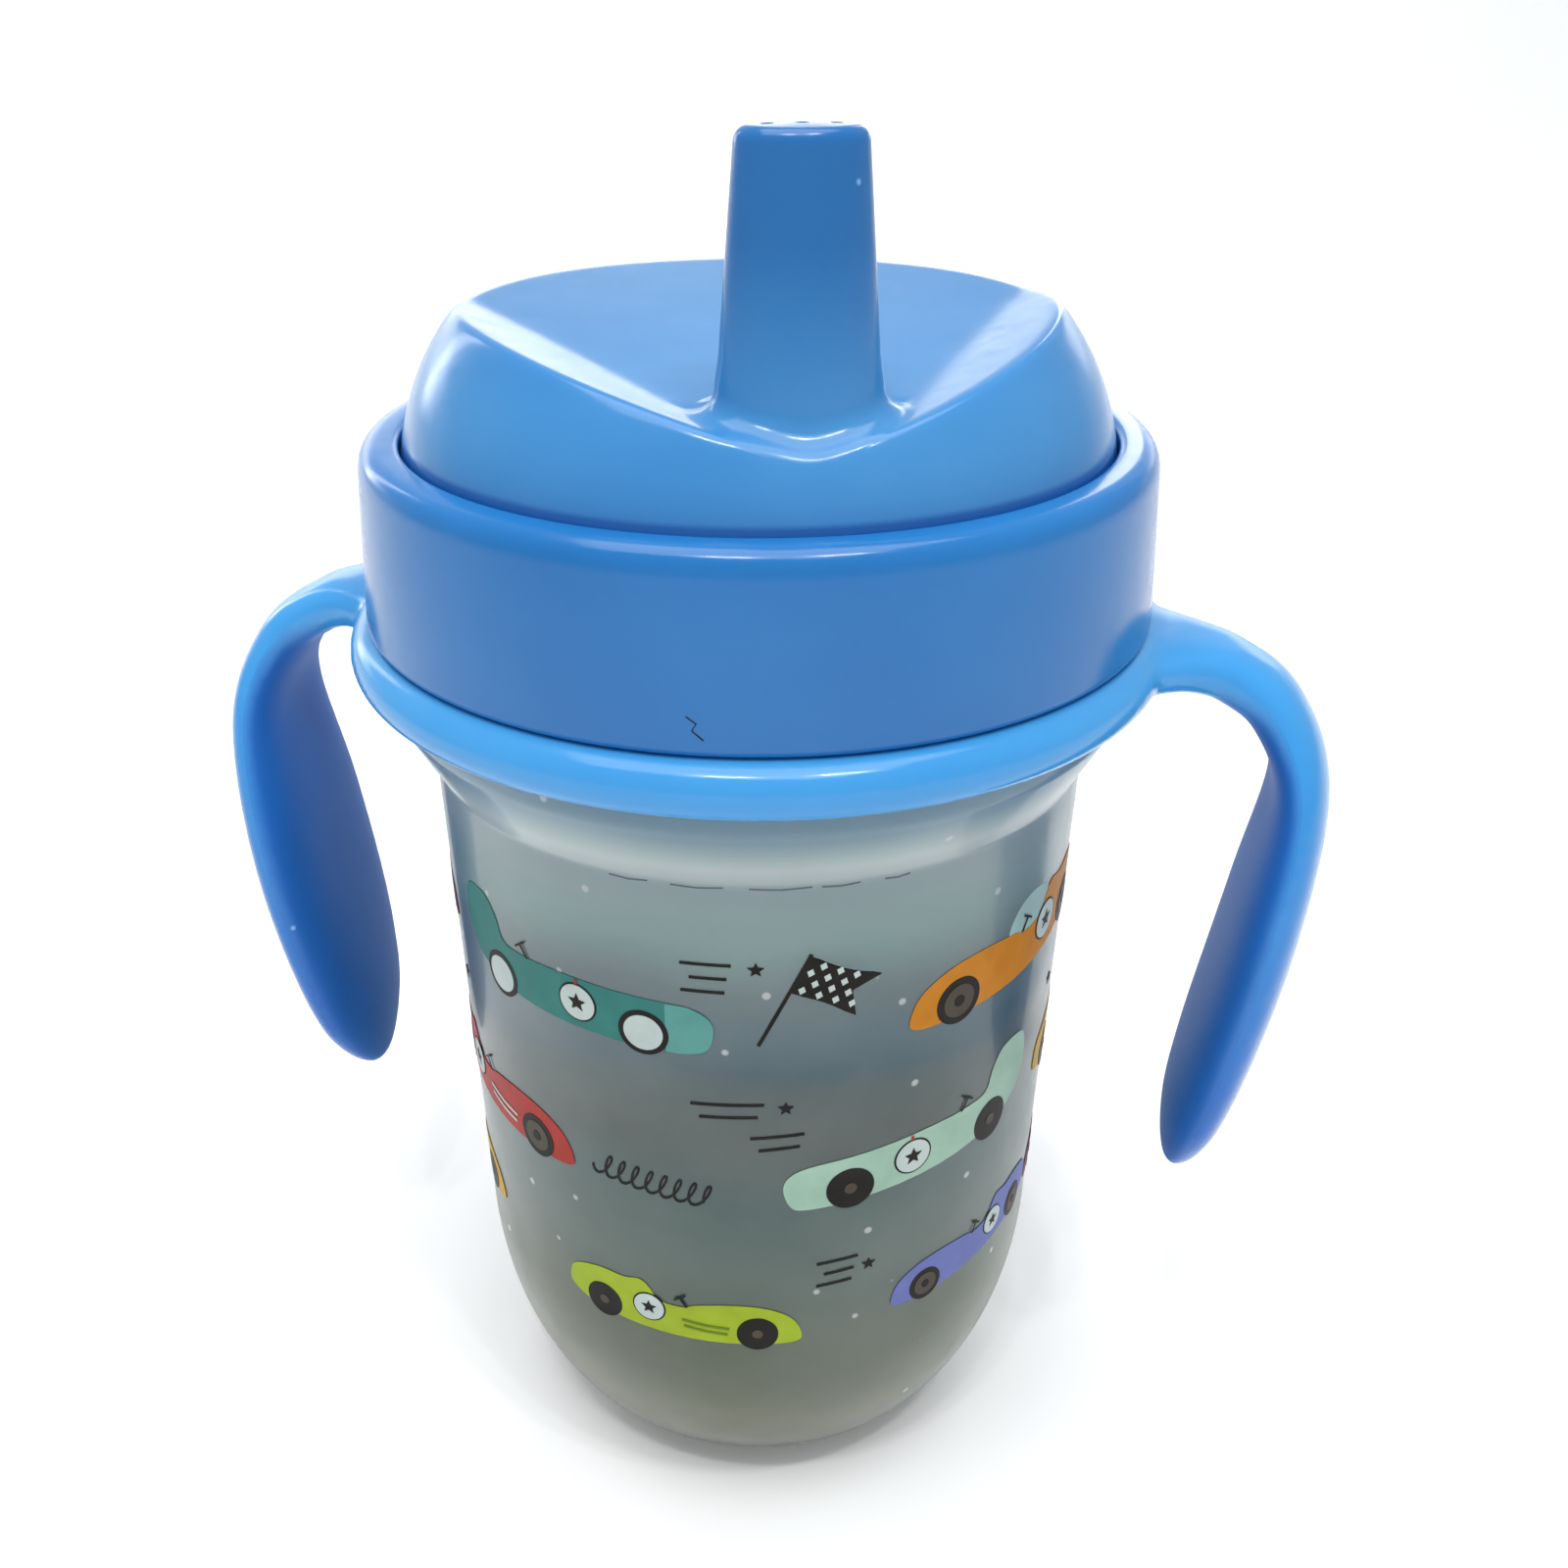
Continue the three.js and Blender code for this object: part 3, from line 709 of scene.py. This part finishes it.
def dome_solid(name, lower, inset, drop, edge, rows, steps=480):
    """A closed solid: the lower profile of (r, z), then the scooped dome on top of it."""
    a = np.arange(steps) * 2 * math.pi / steps
    rings = [[(r * math.cos(b), r * math.sin(b), z) for b in a] for r, z in lower]
    grid = dome_grid(inset, drop, edge, rows, steps)
    rings += [[tuple(p) for p in row] for row in grid[1:]]
    return outward(loft(name, rings))


def spout_half(z):
    """Half the spout's width at height z."""
    down = (SPOUT_TOP - z) / (SPOUT_TOP - SPOUT_ROOT_Z)
    return SPOUT_TOP_HALF + (SPOUT_ROOT_HALF - SPOUT_TOP_HALF) * down


def spout_solid():
    """The tapered oval spout, with a rounded end and a root that flares into the scooped face."""
    steps = 160
    angles = np.arange(steps) * 2 * math.pi / steps
    cos, sin = np.cos(angles), np.sin(angles)
    rings = []

    def ring(half, z):
        x = half * cos
        y = SPOUT_Y + SPOUT_FLAT * half * sin
        rings.append(np.stack([x, y, z + 0 * x], -1))

    def flare(out, up):
        wall = spout_half(SPOUT_ROOT_Z)
        x = wall * cos + out * cos
        y = SPOUT_Y + SPOUT_FLAT * wall * sin + out * sin
        rings.append(np.stack([x, y, lid_height(x, y) + up], -1))

    flare(SPOUT_FILLET, -3.0)
    for angle in np.radians(np.linspace(90, 0, 14)):
        flare(SPOUT_FILLET * (1 - math.cos(angle)), SPOUT_FILLET * (1 - math.sin(angle)) - 0.03)
    shoulder = SPOUT_TOP - SPOUT_CROWN - SPOUT_EDGE
    highest = max(p[2] for p in rings[-1])
    for z in np.linspace(highest + 1.5, shoulder, 12):
        ring(spout_half(z), z)
    core = spout_half(shoulder) - SPOUT_EDGE
    for angle in np.radians(np.linspace(15, 85, 7)):
        ring(core + SPOUT_EDGE * math.cos(angle), shoulder + SPOUT_EDGE * math.sin(angle))
    for share in (0.95, 0.7, 0.4, 0.1):
        ring(core * share, shoulder + SPOUT_EDGE + SPOUT_CROWN * (1 - share ** 2))
    return outward(loft("spout", [[tuple(p) for p in r] for r in rings]))


def post(name, radius, bottom, top, x, y, steps=48):
    """An upright round bar."""
    angles = np.arange(steps) * 2 * math.pi / steps
    ring = [(x + radius * math.cos(a), y + radius * math.sin(a)) for a in angles]
    return outward(loft(name, [[(px, py, z) for px, py in ring] for z in (bottom, top)]))


def make_lid():
    lower = rounded([
        (SKIRT_R - 0.5, SKIRT_BOTTOM, 0),
        (SKIRT_R, SKIRT_BOTTOM + 0.6, 0.3),
        (SKIRT_R, FLANGE_BOTTOM, 0.1),
        (FLANGE_R, FLANGE_BOTTOM, 0.2),
        (FLANGE_R, FLANGE_TOP, 0.2),
        (DOME_R - 0.15, FLANGE_TOP, 0.15),
    ])
    lower.append((DOME_R - 0.15, FLANGE_TOP + 0.4))
    lid = dome_solid("spout_lid_shell", lower, 0.0, 0.0, LID_EDGE, 190)
    boolean(lid, spout_solid(), "UNION")
    hollow_r = SKIRT_R - SKIRT_WALL
    hollow_lower = [(hollow_r, SKIRT_BOTTOM - 1), (hollow_r, FLANGE_BOTTOM)]
    hollow = dome_solid("hollow", hollow_lower, WALL, WALL, 0.5, 60, 160)
    boolean(hollow, post("socket", SOCKET_R, SKIRT_BOTTOM + 1, 130, 0, SOCKET_Y), "DIFFERENCE")
    boolean(hollow, post("vent_socket", VENT_R, SKIRT_BOTTOM + 1, 130, 0, VENT_Y), "DIFFERENCE")
    boolean(lid, hollow, "DIFFERENCE")
    roof = SPOUT_TOP - SPOUT_CAP
    bore_foot = SOCKET_ROOF - 4.0
    root_bore = SPOUT_ROOT_HALF - SPOUT_WALL
    bore = [(0, bore_foot), (root_bore, bore_foot), (root_bore, SPOUT_ROOT_Z),
            (SPOUT_TOP_HALF - SPOUT_WALL, roof), (0, roof)]
    boolean(lid, outward(revolve("bore", bore, steps=96, flat=SPOUT_FLAT, offset_y=SPOUT_Y)), "DIFFERENCE")
    boolean(lid, post("socket_bore", SOCKET_BORE_R, SKIRT_BOTTOM, SOCKET_ROOF, 0, SOCKET_Y), "DIFFERENCE")
    boolean(lid, post("vent_bore", VENT_BORE_R, SKIRT_BOTTOM, VENT_ROOF, 0, VENT_Y), "DIFFERENCE")
    boolean(lid, post("vent_hole", VENT_HOLE_R, VENT_ROOF - 1.5, 140.0, 0, VENT_Y), "DIFFERENCE")
    for side in (-1, 0, 1):
        hole = post("sip_hole", SIP_HOLE_R, roof - 1, SPOUT_TOP + 1, SIP_PITCH * side, SPOUT_Y)
        boolean(lid, hole, "DIFFERENCE")
    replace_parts(finish_piece(smooth(lid, 50), BLUE_LID, "lid"), "spout_lid")


# ---------------------------------------------------------------- seals


def make_gasket():
    inner, outer = GASKET_HIGH[0] - 3.2, GASKET_HIGH[0]
    low, high = GASKET_LOW[2], GASKET_HIGH[2]
    waist = (low + high) / 2
    section = rounded([
        (inner, low, 0.4),
        (outer, low, 0.4),
        (outer - 0.3, waist, 0.3),
        (outer, high, 0.4),
        (inner, high, 0.4),
    ])
    gasket = outward(revolve("gasket_ring", section, closed=True))
    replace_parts(finish_piece(smooth(gasket), SILICONE, "lid"), "lid_gasket")


def make_valve():
    plate_top = SKIRT_BOTTOM + PLATE_LIFT
    plate_foot = plate_top - PLATE
    middle = (SOCKET_Y + VENT_Y) / 2
    valve = revolve("valve", rounded([
        (0, plate_foot, 0),
        (SOCKET_R, plate_foot, 0.5),
        (SOCKET_R, plate_top, 0.4),
        (PLUG_R, plate_top, 0.3),
        (PLUG_R, plate_top + PLUG_HEIGHT, 0.5),
        (PLUG_BORE_R, plate_top + PLUG_HEIGHT, 0.3),
        (PLUG_BORE_R, plate_top + 1, 0.4),
        (0, plate_top + 1, 0),
    ]), steps=64, offset_y=SOCKET_Y)
    vent = revolve("vent_plug", rounded([
        (0, plate_foot, 0),
        (VENT_R, plate_foot, 0.5),
        (VENT_R, plate_top, 0.4),
        (VENT_STEM_R, plate_top, 0.3),
        (VENT_STEM_R, plate_top + VENT_STEM_HEIGHT, 0.6),
        (0, plate_top + VENT_STEM_HEIGHT, 0),
    ]), steps=48, offset_y=VENT_Y)
    boolean(outward(valve), outward(vent), "UNION")
    bar = slab("bar", 3.0, middle, abs(SOCKET_Y - VENT_Y) / 2, plate_foot + 0.2, plate_top - 0.2)
    boolean(valve, bar, "UNION")
    boolean(valve, slab("tab", 4.5, middle, 0.9, plate_top - TAB_DROP, plate_top - PLATE / 2), "UNION")
    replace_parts(finish_piece(smooth(valve), SILICONE, "valve"), "spill_valve")


def slab(name, half_x, y, half_y, low, high):
    """A block with rounded upright edges."""
    corner = min(half_x, half_y) * 0.6
    ring = []
    for cx, cy, start in ((1, 1, 0), (-1, 1, 90), (-1, -1, 180), (1, -1, 270)):
        for angle in np.radians(np.linspace(start, start + 90, 6)):
            ring.append((cx * (half_x - corner) + corner * math.cos(angle),
                         y + cy * (half_y - corner) + corner * math.sin(angle)))
    return outward(loft(name, [[(px, py, z) for px, py in ring] for z in (low, high)]))


make_cup()
make_handle_ring()
make_collar()
make_lid()
make_gasket()
make_valve()

# ---------------------------------------------------------------- printed cars

INK = {
    "teal": ink("ink_teal", srgb(46, 112, 106)),
    "pale_teal": ink("ink_pale_teal", srgb(84, 142, 136)),
    "orange": ink("ink_orange", srgb(184, 116, 18)),
    "red": ink("ink_red", srgb(156, 46, 38)),
    "mint": ink("ink_mint", srgb(146, 176, 158)),
    "yellow": ink("ink_yellow", srgb(186, 148, 30)),
    "lime": ink("ink_lime", srgb(146, 166, 36)),
    "leaf": ink("ink_leaf", srgb(96, 118, 24)),
    "violet": ink("ink_violet", srgb(98, 106, 164)),
    "maroon": ink("ink_maroon", srgb(104, 36, 40)),
    "black": ink("ink_black", srgb(20, 17, 12)),
    "grey": ink("ink_grey", srgb(70, 62, 52)),
    # Painted reflections: dull marks along the crease.
    "painted_crease_reflection": ink("ink_painted_crease_reflection", srgb(98, 114, 116)),
    "white": ink("ink_white", srgb(176, 188, 184)),
    "window": ink("ink_window", srgb(146, 174, 172)),
}
INK_NAMES = list(INK)

UNDER, BODY, PARTS, TRIM = 0.02, 0.07, 0.11, 0.15   # how far each layer of ink stands off the wall
PRINT_R = 32.4                       # radius at which the art's widths are measured
INK_THICKNESS = 0.05


def wall_radius(z):
    """Radius of the cup's outside at height z, below the crease."""
    slope = (CREASE_R - WALL_R) / (CREASE_Z - WALL_START)
    low = 1 - np.clip((WALL_START - z) / BASE_HEIGHT, 0, 1) ** 2
    rounded_r = BASE_CENTRE_R + BASE_WIDTH * np.sqrt(low)
    return np.where(z > WALL_START, WALL_R + (z - WALL_START) * slope, rounded_r)


def collar_radius(z):
    """Radius of the collar's outside at height z."""
    return COLLAR_R - (COLLAR_R - COLLAR_TOP_R) * (z - COLLAR_BOTTOM) / (COLLAR_TOP - COLLAR_BOTTOM)


class Art:
    """Collects flat shapes, u mm round from the front and v mm up, and wraps them on a round wall."""

    def __init__(self, radius_at=wall_radius):
        self.verts, self.faces, self.inks = [], [], []
        self.radius_at = radius_at

    def on_wall(self, flat, stand_off):
        angle = flat[:, 0] / PRINT_R
        r = self.radius_at(flat[:, 1]) + stand_off
        return list(np.stack([r * np.sin(angle), -r * np.cos(angle), flat[:, 1]], -1))

    def plate(self, outline, ink_name, layer):
        outline = np.array(outline)
        low, high = outline.min(0), outline.max(0)
        step = 1.6
        inner = [(u, v) for u in np.arange(low[0] + step / 2, high[0], step)
                 for v in np.arange(low[1] + step / 2, high[1], step)]
        points = [Vector(p) for p in outline] + [Vector(p) for p in inner]
        edges = [(i, (i + 1) % len(outline)) for i in range(len(outline))]
        flat, _, tris, *_ = geometry.delaunay_2d_cdt(points, edges, [], 1, 1e-4)
        flat = np.array([tuple(p) for p in flat])
        if not len(tris):
            return
        tris = [t[::-1] if signed_area(flat[list(t)]) < 0 else t for t in tris]
        first = len(self.verts)
        count = len(flat)
        self.verts += self.on_wall(flat, layer) + self.on_wall(flat, layer - INK_THICKNESS)
        sides = {}
        for t in tris:
            for a, b in zip(t, t[1:] + t[:1]):
                sides[(a, b)] = True
        rim = [(a, b) for a, b in sides if (b, a) not in sides]
        new = [tuple(first + i for i in t) for t in tris]
        new += [tuple(first + count + i for i in t[::-1]) for t in tris]
        new += [(first + b, first + a, first + count + a, first + count + b) for a, b in rim]
        self.faces += new
        self.inks += [INK_NAMES.index(ink_name)] * len(new)

    def disc(self, u, v, radius, ink_name, layer, steps=36):
        angles = np.arange(steps) * 2 * math.pi / steps
        outline = np.stack([u + radius * np.cos(angles), v + radius * np.sin(angles)], -1)
        self.plate(outline, ink_name, layer)

    def stroke(self, points, width, ink_name, layer):
        """A drawn line of even width through the points, cut short enough to follow the wall."""
        p = np.array(points, float)
        pieces = np.ceil(np.linalg.norm(np.diff(p, axis=0), axis=1) / 1.2).astype(int)
        fine = [p[i] + (p[i + 1] - p[i]) * k / n for i, n in enumerate(pieces) for k in range(n)]
        p = np.array(fine + [p[-1]])
        along = np.gradient(p, axis=0)
        along /= np.linalg.norm(along, axis=1)[:, None] + 1e-9
        side = np.stack([-along[:, 1], along[:, 0]], -1) * width / 2
        for i in range(len(p) - 1):
            ends = [p[i] + side[i], p[i] - side[i], p[i + 1] - side[i + 1], p[i + 1] + side[i + 1]]
            self.plate(ends, ink_name, layer)

    def build(self, name, body):
        obj = new_object(name, self.verts, self.faces)
        for material in INK.values():
            obj.data.materials.append(material)
        obj.data.polygons.foreach_set("material_index", self.inks)
        outward(obj)
        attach(obj, body)


def signed_area(corners):
    x, y = corners[:, 0], corners[:, 1]
    return 0.5 * float(np.dot(x, np.roll(y, -1)) - np.dot(y, np.roll(x, -1)))


def smooth_outline(points, steps=5):
    """A closed smooth curve through the points; a point given as (u, v, 0) stays a corner."""
    p = [np.array(q[:2], float) for q in points]
    sharp = [len(q) == 3 for q in points]
    out = []
    count = len(p)
    for i in range(count):
        a, b = p[i], p[(i + 1) % count]
        before = a if sharp[i] else p[i - 1]
        after = b if sharp[(i + 1) % count] else p[(i + 2) % count]
        for k in range(steps):
            t = k / steps
            out.append(0.5 * (2 * a + (b - before) * t + (2 * before - 5 * a + 4 * b - after) * t ** 2
                              + (3 * a - before - 3 * b + after) * t ** 3))
    return np.array(out)


# Outlines of two plain racing cars facing right: x along the car and y over the wheel centres
FIN_CAR = [
    (-14.6, 8.0), (-11.2, 8.3), (-9.4, 6.6), (-8.3, 4.2), (-5.5, 3.9), (0, 4.1), (8, 3.9), (13, 3.5),
    (15, 1.9), (14.6, -0.9), (12.6, -1.7), (5, -1.6), (-6, -1.2), (-12.6, 0.2), (-15.1, 2.6), (-15.5, 5.6),
]
FIN_CAR_NOSE = [(10.6, 3.7, 0), (13, 3.5), (15, 1.9), (14.6, -0.9), (12.6, -1.7), (10.6, -1.7, 0)]
CIGAR_CAR = [
    (-15, 1.9), (-14.0, 3.6), (-10.5, 4.9), (-7, 5.0), (-4.8, 5.5), (-3.4, 4.4), (-2.4, 3.0), (0.6, 2.8),
    (2.4, 3.5), (6.5, 4.2), (10.5, 4.0), (13.6, 2.6), (15, 0.4), (14.6, -1.2), (10, -1.7), (0, -1.9),
    (-10, -1.5), (-14.6, -0.2),
]
WINDOW = [(-4.4, 2.6), (-3.6, 5.6), (-1.0, 6.6), (1.6, 6.0), (3.2, 3.6), (0, 2.2)]
WHEEL_R = 2.5


class Car:
    """One printed car: its outline, wheels, roundel and small details, in the art's flat plane."""

    def __init__(self, art, azimuth, height, facing, tilt=0.0, scale=1.0):
        self.art, self.facing, self.scale = art, facing, scale
        self.u, self.v = math.radians(azimuth) * PRINT_R, height
        self.cos, self.sin = math.cos(math.radians(tilt)), math.sin(math.radians(tilt))

    def at(self, x, y):
        x, y = x * self.facing * self.scale, y * self.scale
        return (self.u + x * self.cos - y * self.sin, self.v + x * self.sin + y * self.cos)

    def shape(self, points, ink_name, layer):
        self.art.plate([self.at(*p) for p in smooth_outline(points)], ink_name, layer)

    def spot(self, x, y, radius, ink_name, layer):
        u, v = self.at(x, y)
        self.art.disc(u, v, radius * self.scale, ink_name, layer)

    def line(self, points, ink_name, width=0.32):
        self.art.stroke([self.at(*p) for p in points], width, ink_name, TRIM)

    def wheel(self, x, style):
        if style == "white":
            self.spot(x, 0, WHEEL_R, "black", PARTS)
            self.spot(x, 0, WHEEL_R - 0.55, "white", TRIM)
        elif style == "wire":
            self.spot(x, 0, WHEEL_R, "black", PARTS)
            self.spot(x, 0, WHEEL_R - 0.75, "grey", TRIM)
            self.spot(x, 0, 0.6, "black", TRIM + 0.03)
        else:
            self.spot(x, 0, WHEEL_R, "black", PARTS)
            self.spot(x, 0, 0.65, "grey", TRIM)

    def roundel(self, x, y):
        self.spot(x, y, 2.15, "black", PARTS)
        self.spot(x, y, 1.95, "white", TRIM)
        u, v = self.at(x, y)
        star(self.art, u, v, 1.05 * self.scale, TRIM + 0.03)

    def steering(self, x, y):
        self.line([(x, y), (x - 0.9, y + 1.3)], "black", 0.22)
        self.line([(x - 1.6, y + 0.8), (x - 0.2, y + 1.8)], "black", 0.22)


def star(art, u, v, radius, layer):
    angles = np.radians(90 + 36 * np.arange(10))
    reach = np.where(np.arange(10) % 2, 0.45, 1.0) * radius
    art.plate(np.stack([u + reach * np.cos(angles), v + reach * np.sin(angles)], -1), "black", layer)


def fin_car(art, azimuth, height, colour, facing, tilt=0.0, wheels="plain", nose=None):
    car = Car(art, azimuth, height, facing, tilt)
    car.shape(FIN_CAR, colour, BODY)
    if nose:
        car.shape(FIN_CAR_NOSE, nose, BODY + 0.02)
    car.wheel(-9.1, wheels)
    car.wheel(8.4, wheels)
    car.roundel(1.5, 1.4)
    car.line([(1.5, 3.5), (1.5, 4.0)], "red")
    car.steering(-4.6, 3.9)


def cigar_car(art, azimuth, height, colour, facing, tilt=0.0, scale=1.0, wheels="plain", window=False,
              stripes=None):
    car = Car(art, azimuth, height, facing, tilt, scale)
    if window:
        car.shape(WINDOW, "window", UNDER)
    car.shape(CIGAR_CAR, colour, BODY)
    car.wheel(-9.8, wheels)
    car.wheel(9.8, wheels)
    car.roundel(-3.6, 1.6)
    if stripes:
        car.line([(0.6, 0.9), (3.5, 0.6), (6.4, 0.5)], stripes, 0.28)
        car.line([(0.9, 0.0), (3.5, -0.3), (6.2, -0.4)], stripes, 0.28)
    car.steering(1.2, 3.0)


def flag(art):
    """A chequered flag with a notched end, on a leaning pole."""
    pole = [(-4.3, 66.5), (0.4, 76.5)]
    art.stroke(pole, 0.35, "black", BODY)
    a, b = np.array([0.3, 76.3]), np.array([-1.3, 72.4])
    along = np.array([6.7, -2.9])
    notch = a + along * 0.72 + (b - a) * 0.55
    lower_corner = b + along * 0.86 + (0.2, -0.7)
    art.plate([a, a + along, notch, lower_corner, b], "black", BODY)
    for i in range(7):
        for j in range(4):
            if (i + j) % 2 == 0:
                continue
            centre = a + along * (0.1 + i * 0.115) + (b - a) * (0.14 + j * 0.24)
            if i > 5 and j in (1, 2):
                continue
            edge, up = along * 0.052, (b - a) * 0.11
            art.plate([centre - edge, centre + up, centre + edge, centre - up], "white", PARTS)


def squiggle(art, azimuth, height, loops, pitch, size, fall=0.0):
    """A row of slanted pen loops."""
    t = np.linspace(-0.4 * math.pi, (loops * 2 - 0.3) * math.pi, loops * 20)
    v = height + size * (1 - np.cos(t)) - fall * t / (2 * math.pi)
    u = math.radians(azimuth) * PRINT_R + pitch * t / (2 * math.pi) + 0.42 * size * np.sin(t)
    art.stroke(np.stack([u + 0.35 * (v - height), v], -1), 0.24, "black", BODY)


def speed_lines(art, azimuth, height, lengths, tilt=0.0):
    u = math.radians(azimuth) * PRINT_R
    for i, length in enumerate(lengths):
        v = height - 1.5 * i
        start = u + 0.8 * (i % 2)
        line = [(start, v), (start + length / 2, v + tilt), (start + length, v + 2 * tilt)]
        art.stroke(line, 0.3, "black", BODY)


def make_print():
    art = Art()
    fin_car(art, -41.5, 66.8, "teal", 1, wheels="white", nose="pale_teal")
    cigar_car(art, 46.0, 68.4, "orange", -1, 5.0, 1.05, "wire", window=True)
    cigar_car(art, 121.0, 67.6, "violet", 1, -3.0, 1.0, "wire")
    cigar_car(art, 178.0, 67.4, "lime", -1, 3.0, 1.0, stripes="leaf")
    cigar_car(art, -106.0, 67.4, "maroon", 1, 2.0, 1.0)
    cigar_car(art, -69.5, 48.6, "red", 1, -2.0, 1.0, "wire", stripes="white")
    fin_car(art, 23.5, 48.9, "mint", -1, 5.0)
    cigar_car(art, 84.0, 50.0, "yellow", 1, 2.0, 1.0)
    fin_car(art, 140.0, 48.4, "teal", 1, -3.0, "white")
    cigar_car(art, -150.0, 48.6, "orange", -1, -2.0, 1.0, "wire", window=True)
    cigar_car(art, -93.0, 33.4, "yellow", 1, 2.0, 0.88)
    cigar_car(art, -23.0, 29.8, "lime", 1, -2.0, 0.88, stripes="leaf")
    cigar_car(art, 40.0, 32.4, "violet", -1, 6.0, 0.82, "wire")
    cigar_car(art, 86.0, 33.4, "maroon", -1, 0.0, 0.88)
    fin_car(art, 141.0, 31.0, "mint", -1, 0.0)
    cigar_car(art, -150.0, 31.2, "red", 1, 3.0, 0.88)
    flag(art)
    squiggle(art, -37.5, 47.6, 8, 1.55, 1.35, 0.16)
    squiggle(art, 90.0, 58.8, 7, 1.55, 1.35)
    speed_lines(art, -20.0, 75.4, (4.6, 3.4, 4.0))
    speed_lines(art, -19.0, 59.3, (7.0, 5.6), 0.1)
    speed_lines(art, -9.0, 55.4, (5.2, 4.0), 0.2)
    speed_lines(art, 3.0, 38.6, (4.4, 3.2, 3.8), 0.15)
    speed_lines(art, 150.0, 60.0, (5.4, 4.0))
    speed_lines(art, -120.0, 56.0, (5.4, 4.0, 4.6))
    stars = ((-3.0, 59.0), (13.0, 37.4), (-8.0, 75.0), (62.0, 60.0), (-175.0, 57.0), (-78.0, 60.5))
    for azimuth, height in stars:
        star(art, math.radians(azimuth) * PRINT_R, height, 0.8, BODY)
    # Painted reflections: short dull marks along the crease.
    for azimuth, length in ((-31, 3.6), (-21, 4.6), (-9, 5.4), (2, 3.4), (12, 2.4)):
        painted_crease_reflection(art, azimuth, CREASE_Z - 0.4, length)
    art.build("printed_cars", "cup")


def painted_crease_reflection(art, azimuth, height, length):
    """A short dull mark along the crease of the wall: a painted reflection."""
    u = math.radians(azimuth) * PRINT_R
    line = [(u, height), (u + length / 2, height - 0.1), (u + length, height + 0.05)]
    art.stroke(line, 0.16, "painted_crease_reflection", UNDER)


def make_scratch():
    """A fine crooked scratch low on the collar's front."""
    art = Art(collar_radius)
    u, v = math.radians(-16.2) * PRINT_R, 102.4
    art.stroke([(u, v), (u + 0.7, v - 0.6), (u + 0.4, v - 1.2), (u + 1.2, v - 2.0)], 0.1, "black", UNDER)
    art.build("collar_scratch", "collar")


make_print()
make_scratch()

# ---------------------------------------------------------------- stage, light and camera


def make_floor():
    half, back, rise, bend = 900.0, 900.0, 330.0, 200.0
    profile = [(-half * 1.4, 0.0), (back - bend, 0.0)]
    for angle in np.radians(np.linspace(-80, 0, 12)):
        profile.append((back - bend + bend * math.cos(angle), bend + bend * math.sin(angle)))
    profile.append((back, rise))
    verts = [(x, y, z - 0.02) for y, z in profile for x in (-half * 1.6, half * 1.6)]
    faces = [(2 * i, 2 * i + 1, 2 * i + 3, 2 * i + 2) for i in range(len(profile) - 1)]
    floor = new_object("floor", verts, faces)
    floor.data.shade_smooth()
    material, tree, shader = start_material("floor_white")
    paint = mix(tree, noise(tree, 3.0), srgb(243, 244, 245), srgb(250, 250, 250))
    link(tree, paint, shader.inputs["Base Color"])
    shader.inputs["Roughness"].default_value = 0.7
    shader.inputs["Emission Color"].default_value = (0.97, 0.99, 1.0, 1.0)
    shader.inputs["Emission Strength"].default_value = 0.1
    floor.data.materials.append(material)


def area_light(name, place, target, size, power):
    light = bpy.data.lights.new(name, "AREA")
    light.shape = "RECTANGLE"
    light.size, light.size_y = size
    light.energy = power
    obj = bpy.data.objects.new(name, light)
    bpy.context.scene.collection.objects.link(obj)
    obj.location = place
    direction = Vector(target) - Vector(place)
    obj.rotation_euler = direction.to_track_quat("-Z", "Y").to_euler()


def make_world():
    world = bpy.data.worlds.new("studio")
    world.use_nodes = True
    world.node_tree.nodes["Background"].inputs["Color"].default_value = (0.93, 0.96, 1.0, 1)
    world.node_tree.nodes["Background"].inputs["Strength"].default_value = 0.44
    bpy.context.scene.world = world


def make_camera():
    """The camera of the reference view: close, above, and a little round from the spout."""
    tilt = math.radians(26.8)
    distance = 159.5 * MM
    place = Vector((-distance * math.sin(PHOTO_TURN), -distance * math.cos(PHOTO_TURN), 157.6 * MM))
    level = math.cos(tilt)
    aim = Vector((math.sin(PHOTO_TURN) * level, math.cos(PHOTO_TURN) * level, -math.sin(tilt)))
    data = bpy.data.cameras.new("camera")
    data.sensor_width = 36.0
    data.lens = 38.25
    data.shift_x = 0.016
    data.clip_start = 0.01
    camera = bpy.data.objects.new("camera", data)
    camera.location = place
    camera.rotation_euler = aim.to_track_quat("-Z", "Y").to_euler()
    bpy.context.scene.collection.objects.link(camera)
    bpy.context.scene.camera = camera


make_floor()
make_world()
make_camera()
area_light("top_softbox", (-0.05, -0.1, 0.95), (0, 0, 0.0), (0.9, 0.9), 8.0)
area_light("back_band", (0.0, 0.88, 0.2), (0, 0, 0.1), (1.8, 0.26), 1.5)
area_light("back_sky", (0.0, 1.0, 0.62), (0, 0, 0.1), (2.0, 0.45), 0.5)
area_light("left_window", (-0.53, 0.73, 0.35), (0, 0, 0.1), (0.12, 0.5), 0.55)
area_light("right_window", (0.36, 0.82, 0.35), (0, 0, 0.1), (0.08, 0.5), 0.35)
for spot_x, spot_y in ((-0.19, -0.41), (-0.11, -0.44), (0.15, -0.42), (0.23, -0.39)):
    area_light("ceiling_lamp", (spot_x, spot_y, 0.85), (0, 0, 0.1), (0.032, 0.032), 0.6)
bpy.context.scene.view_settings.view_transform = "Standard"
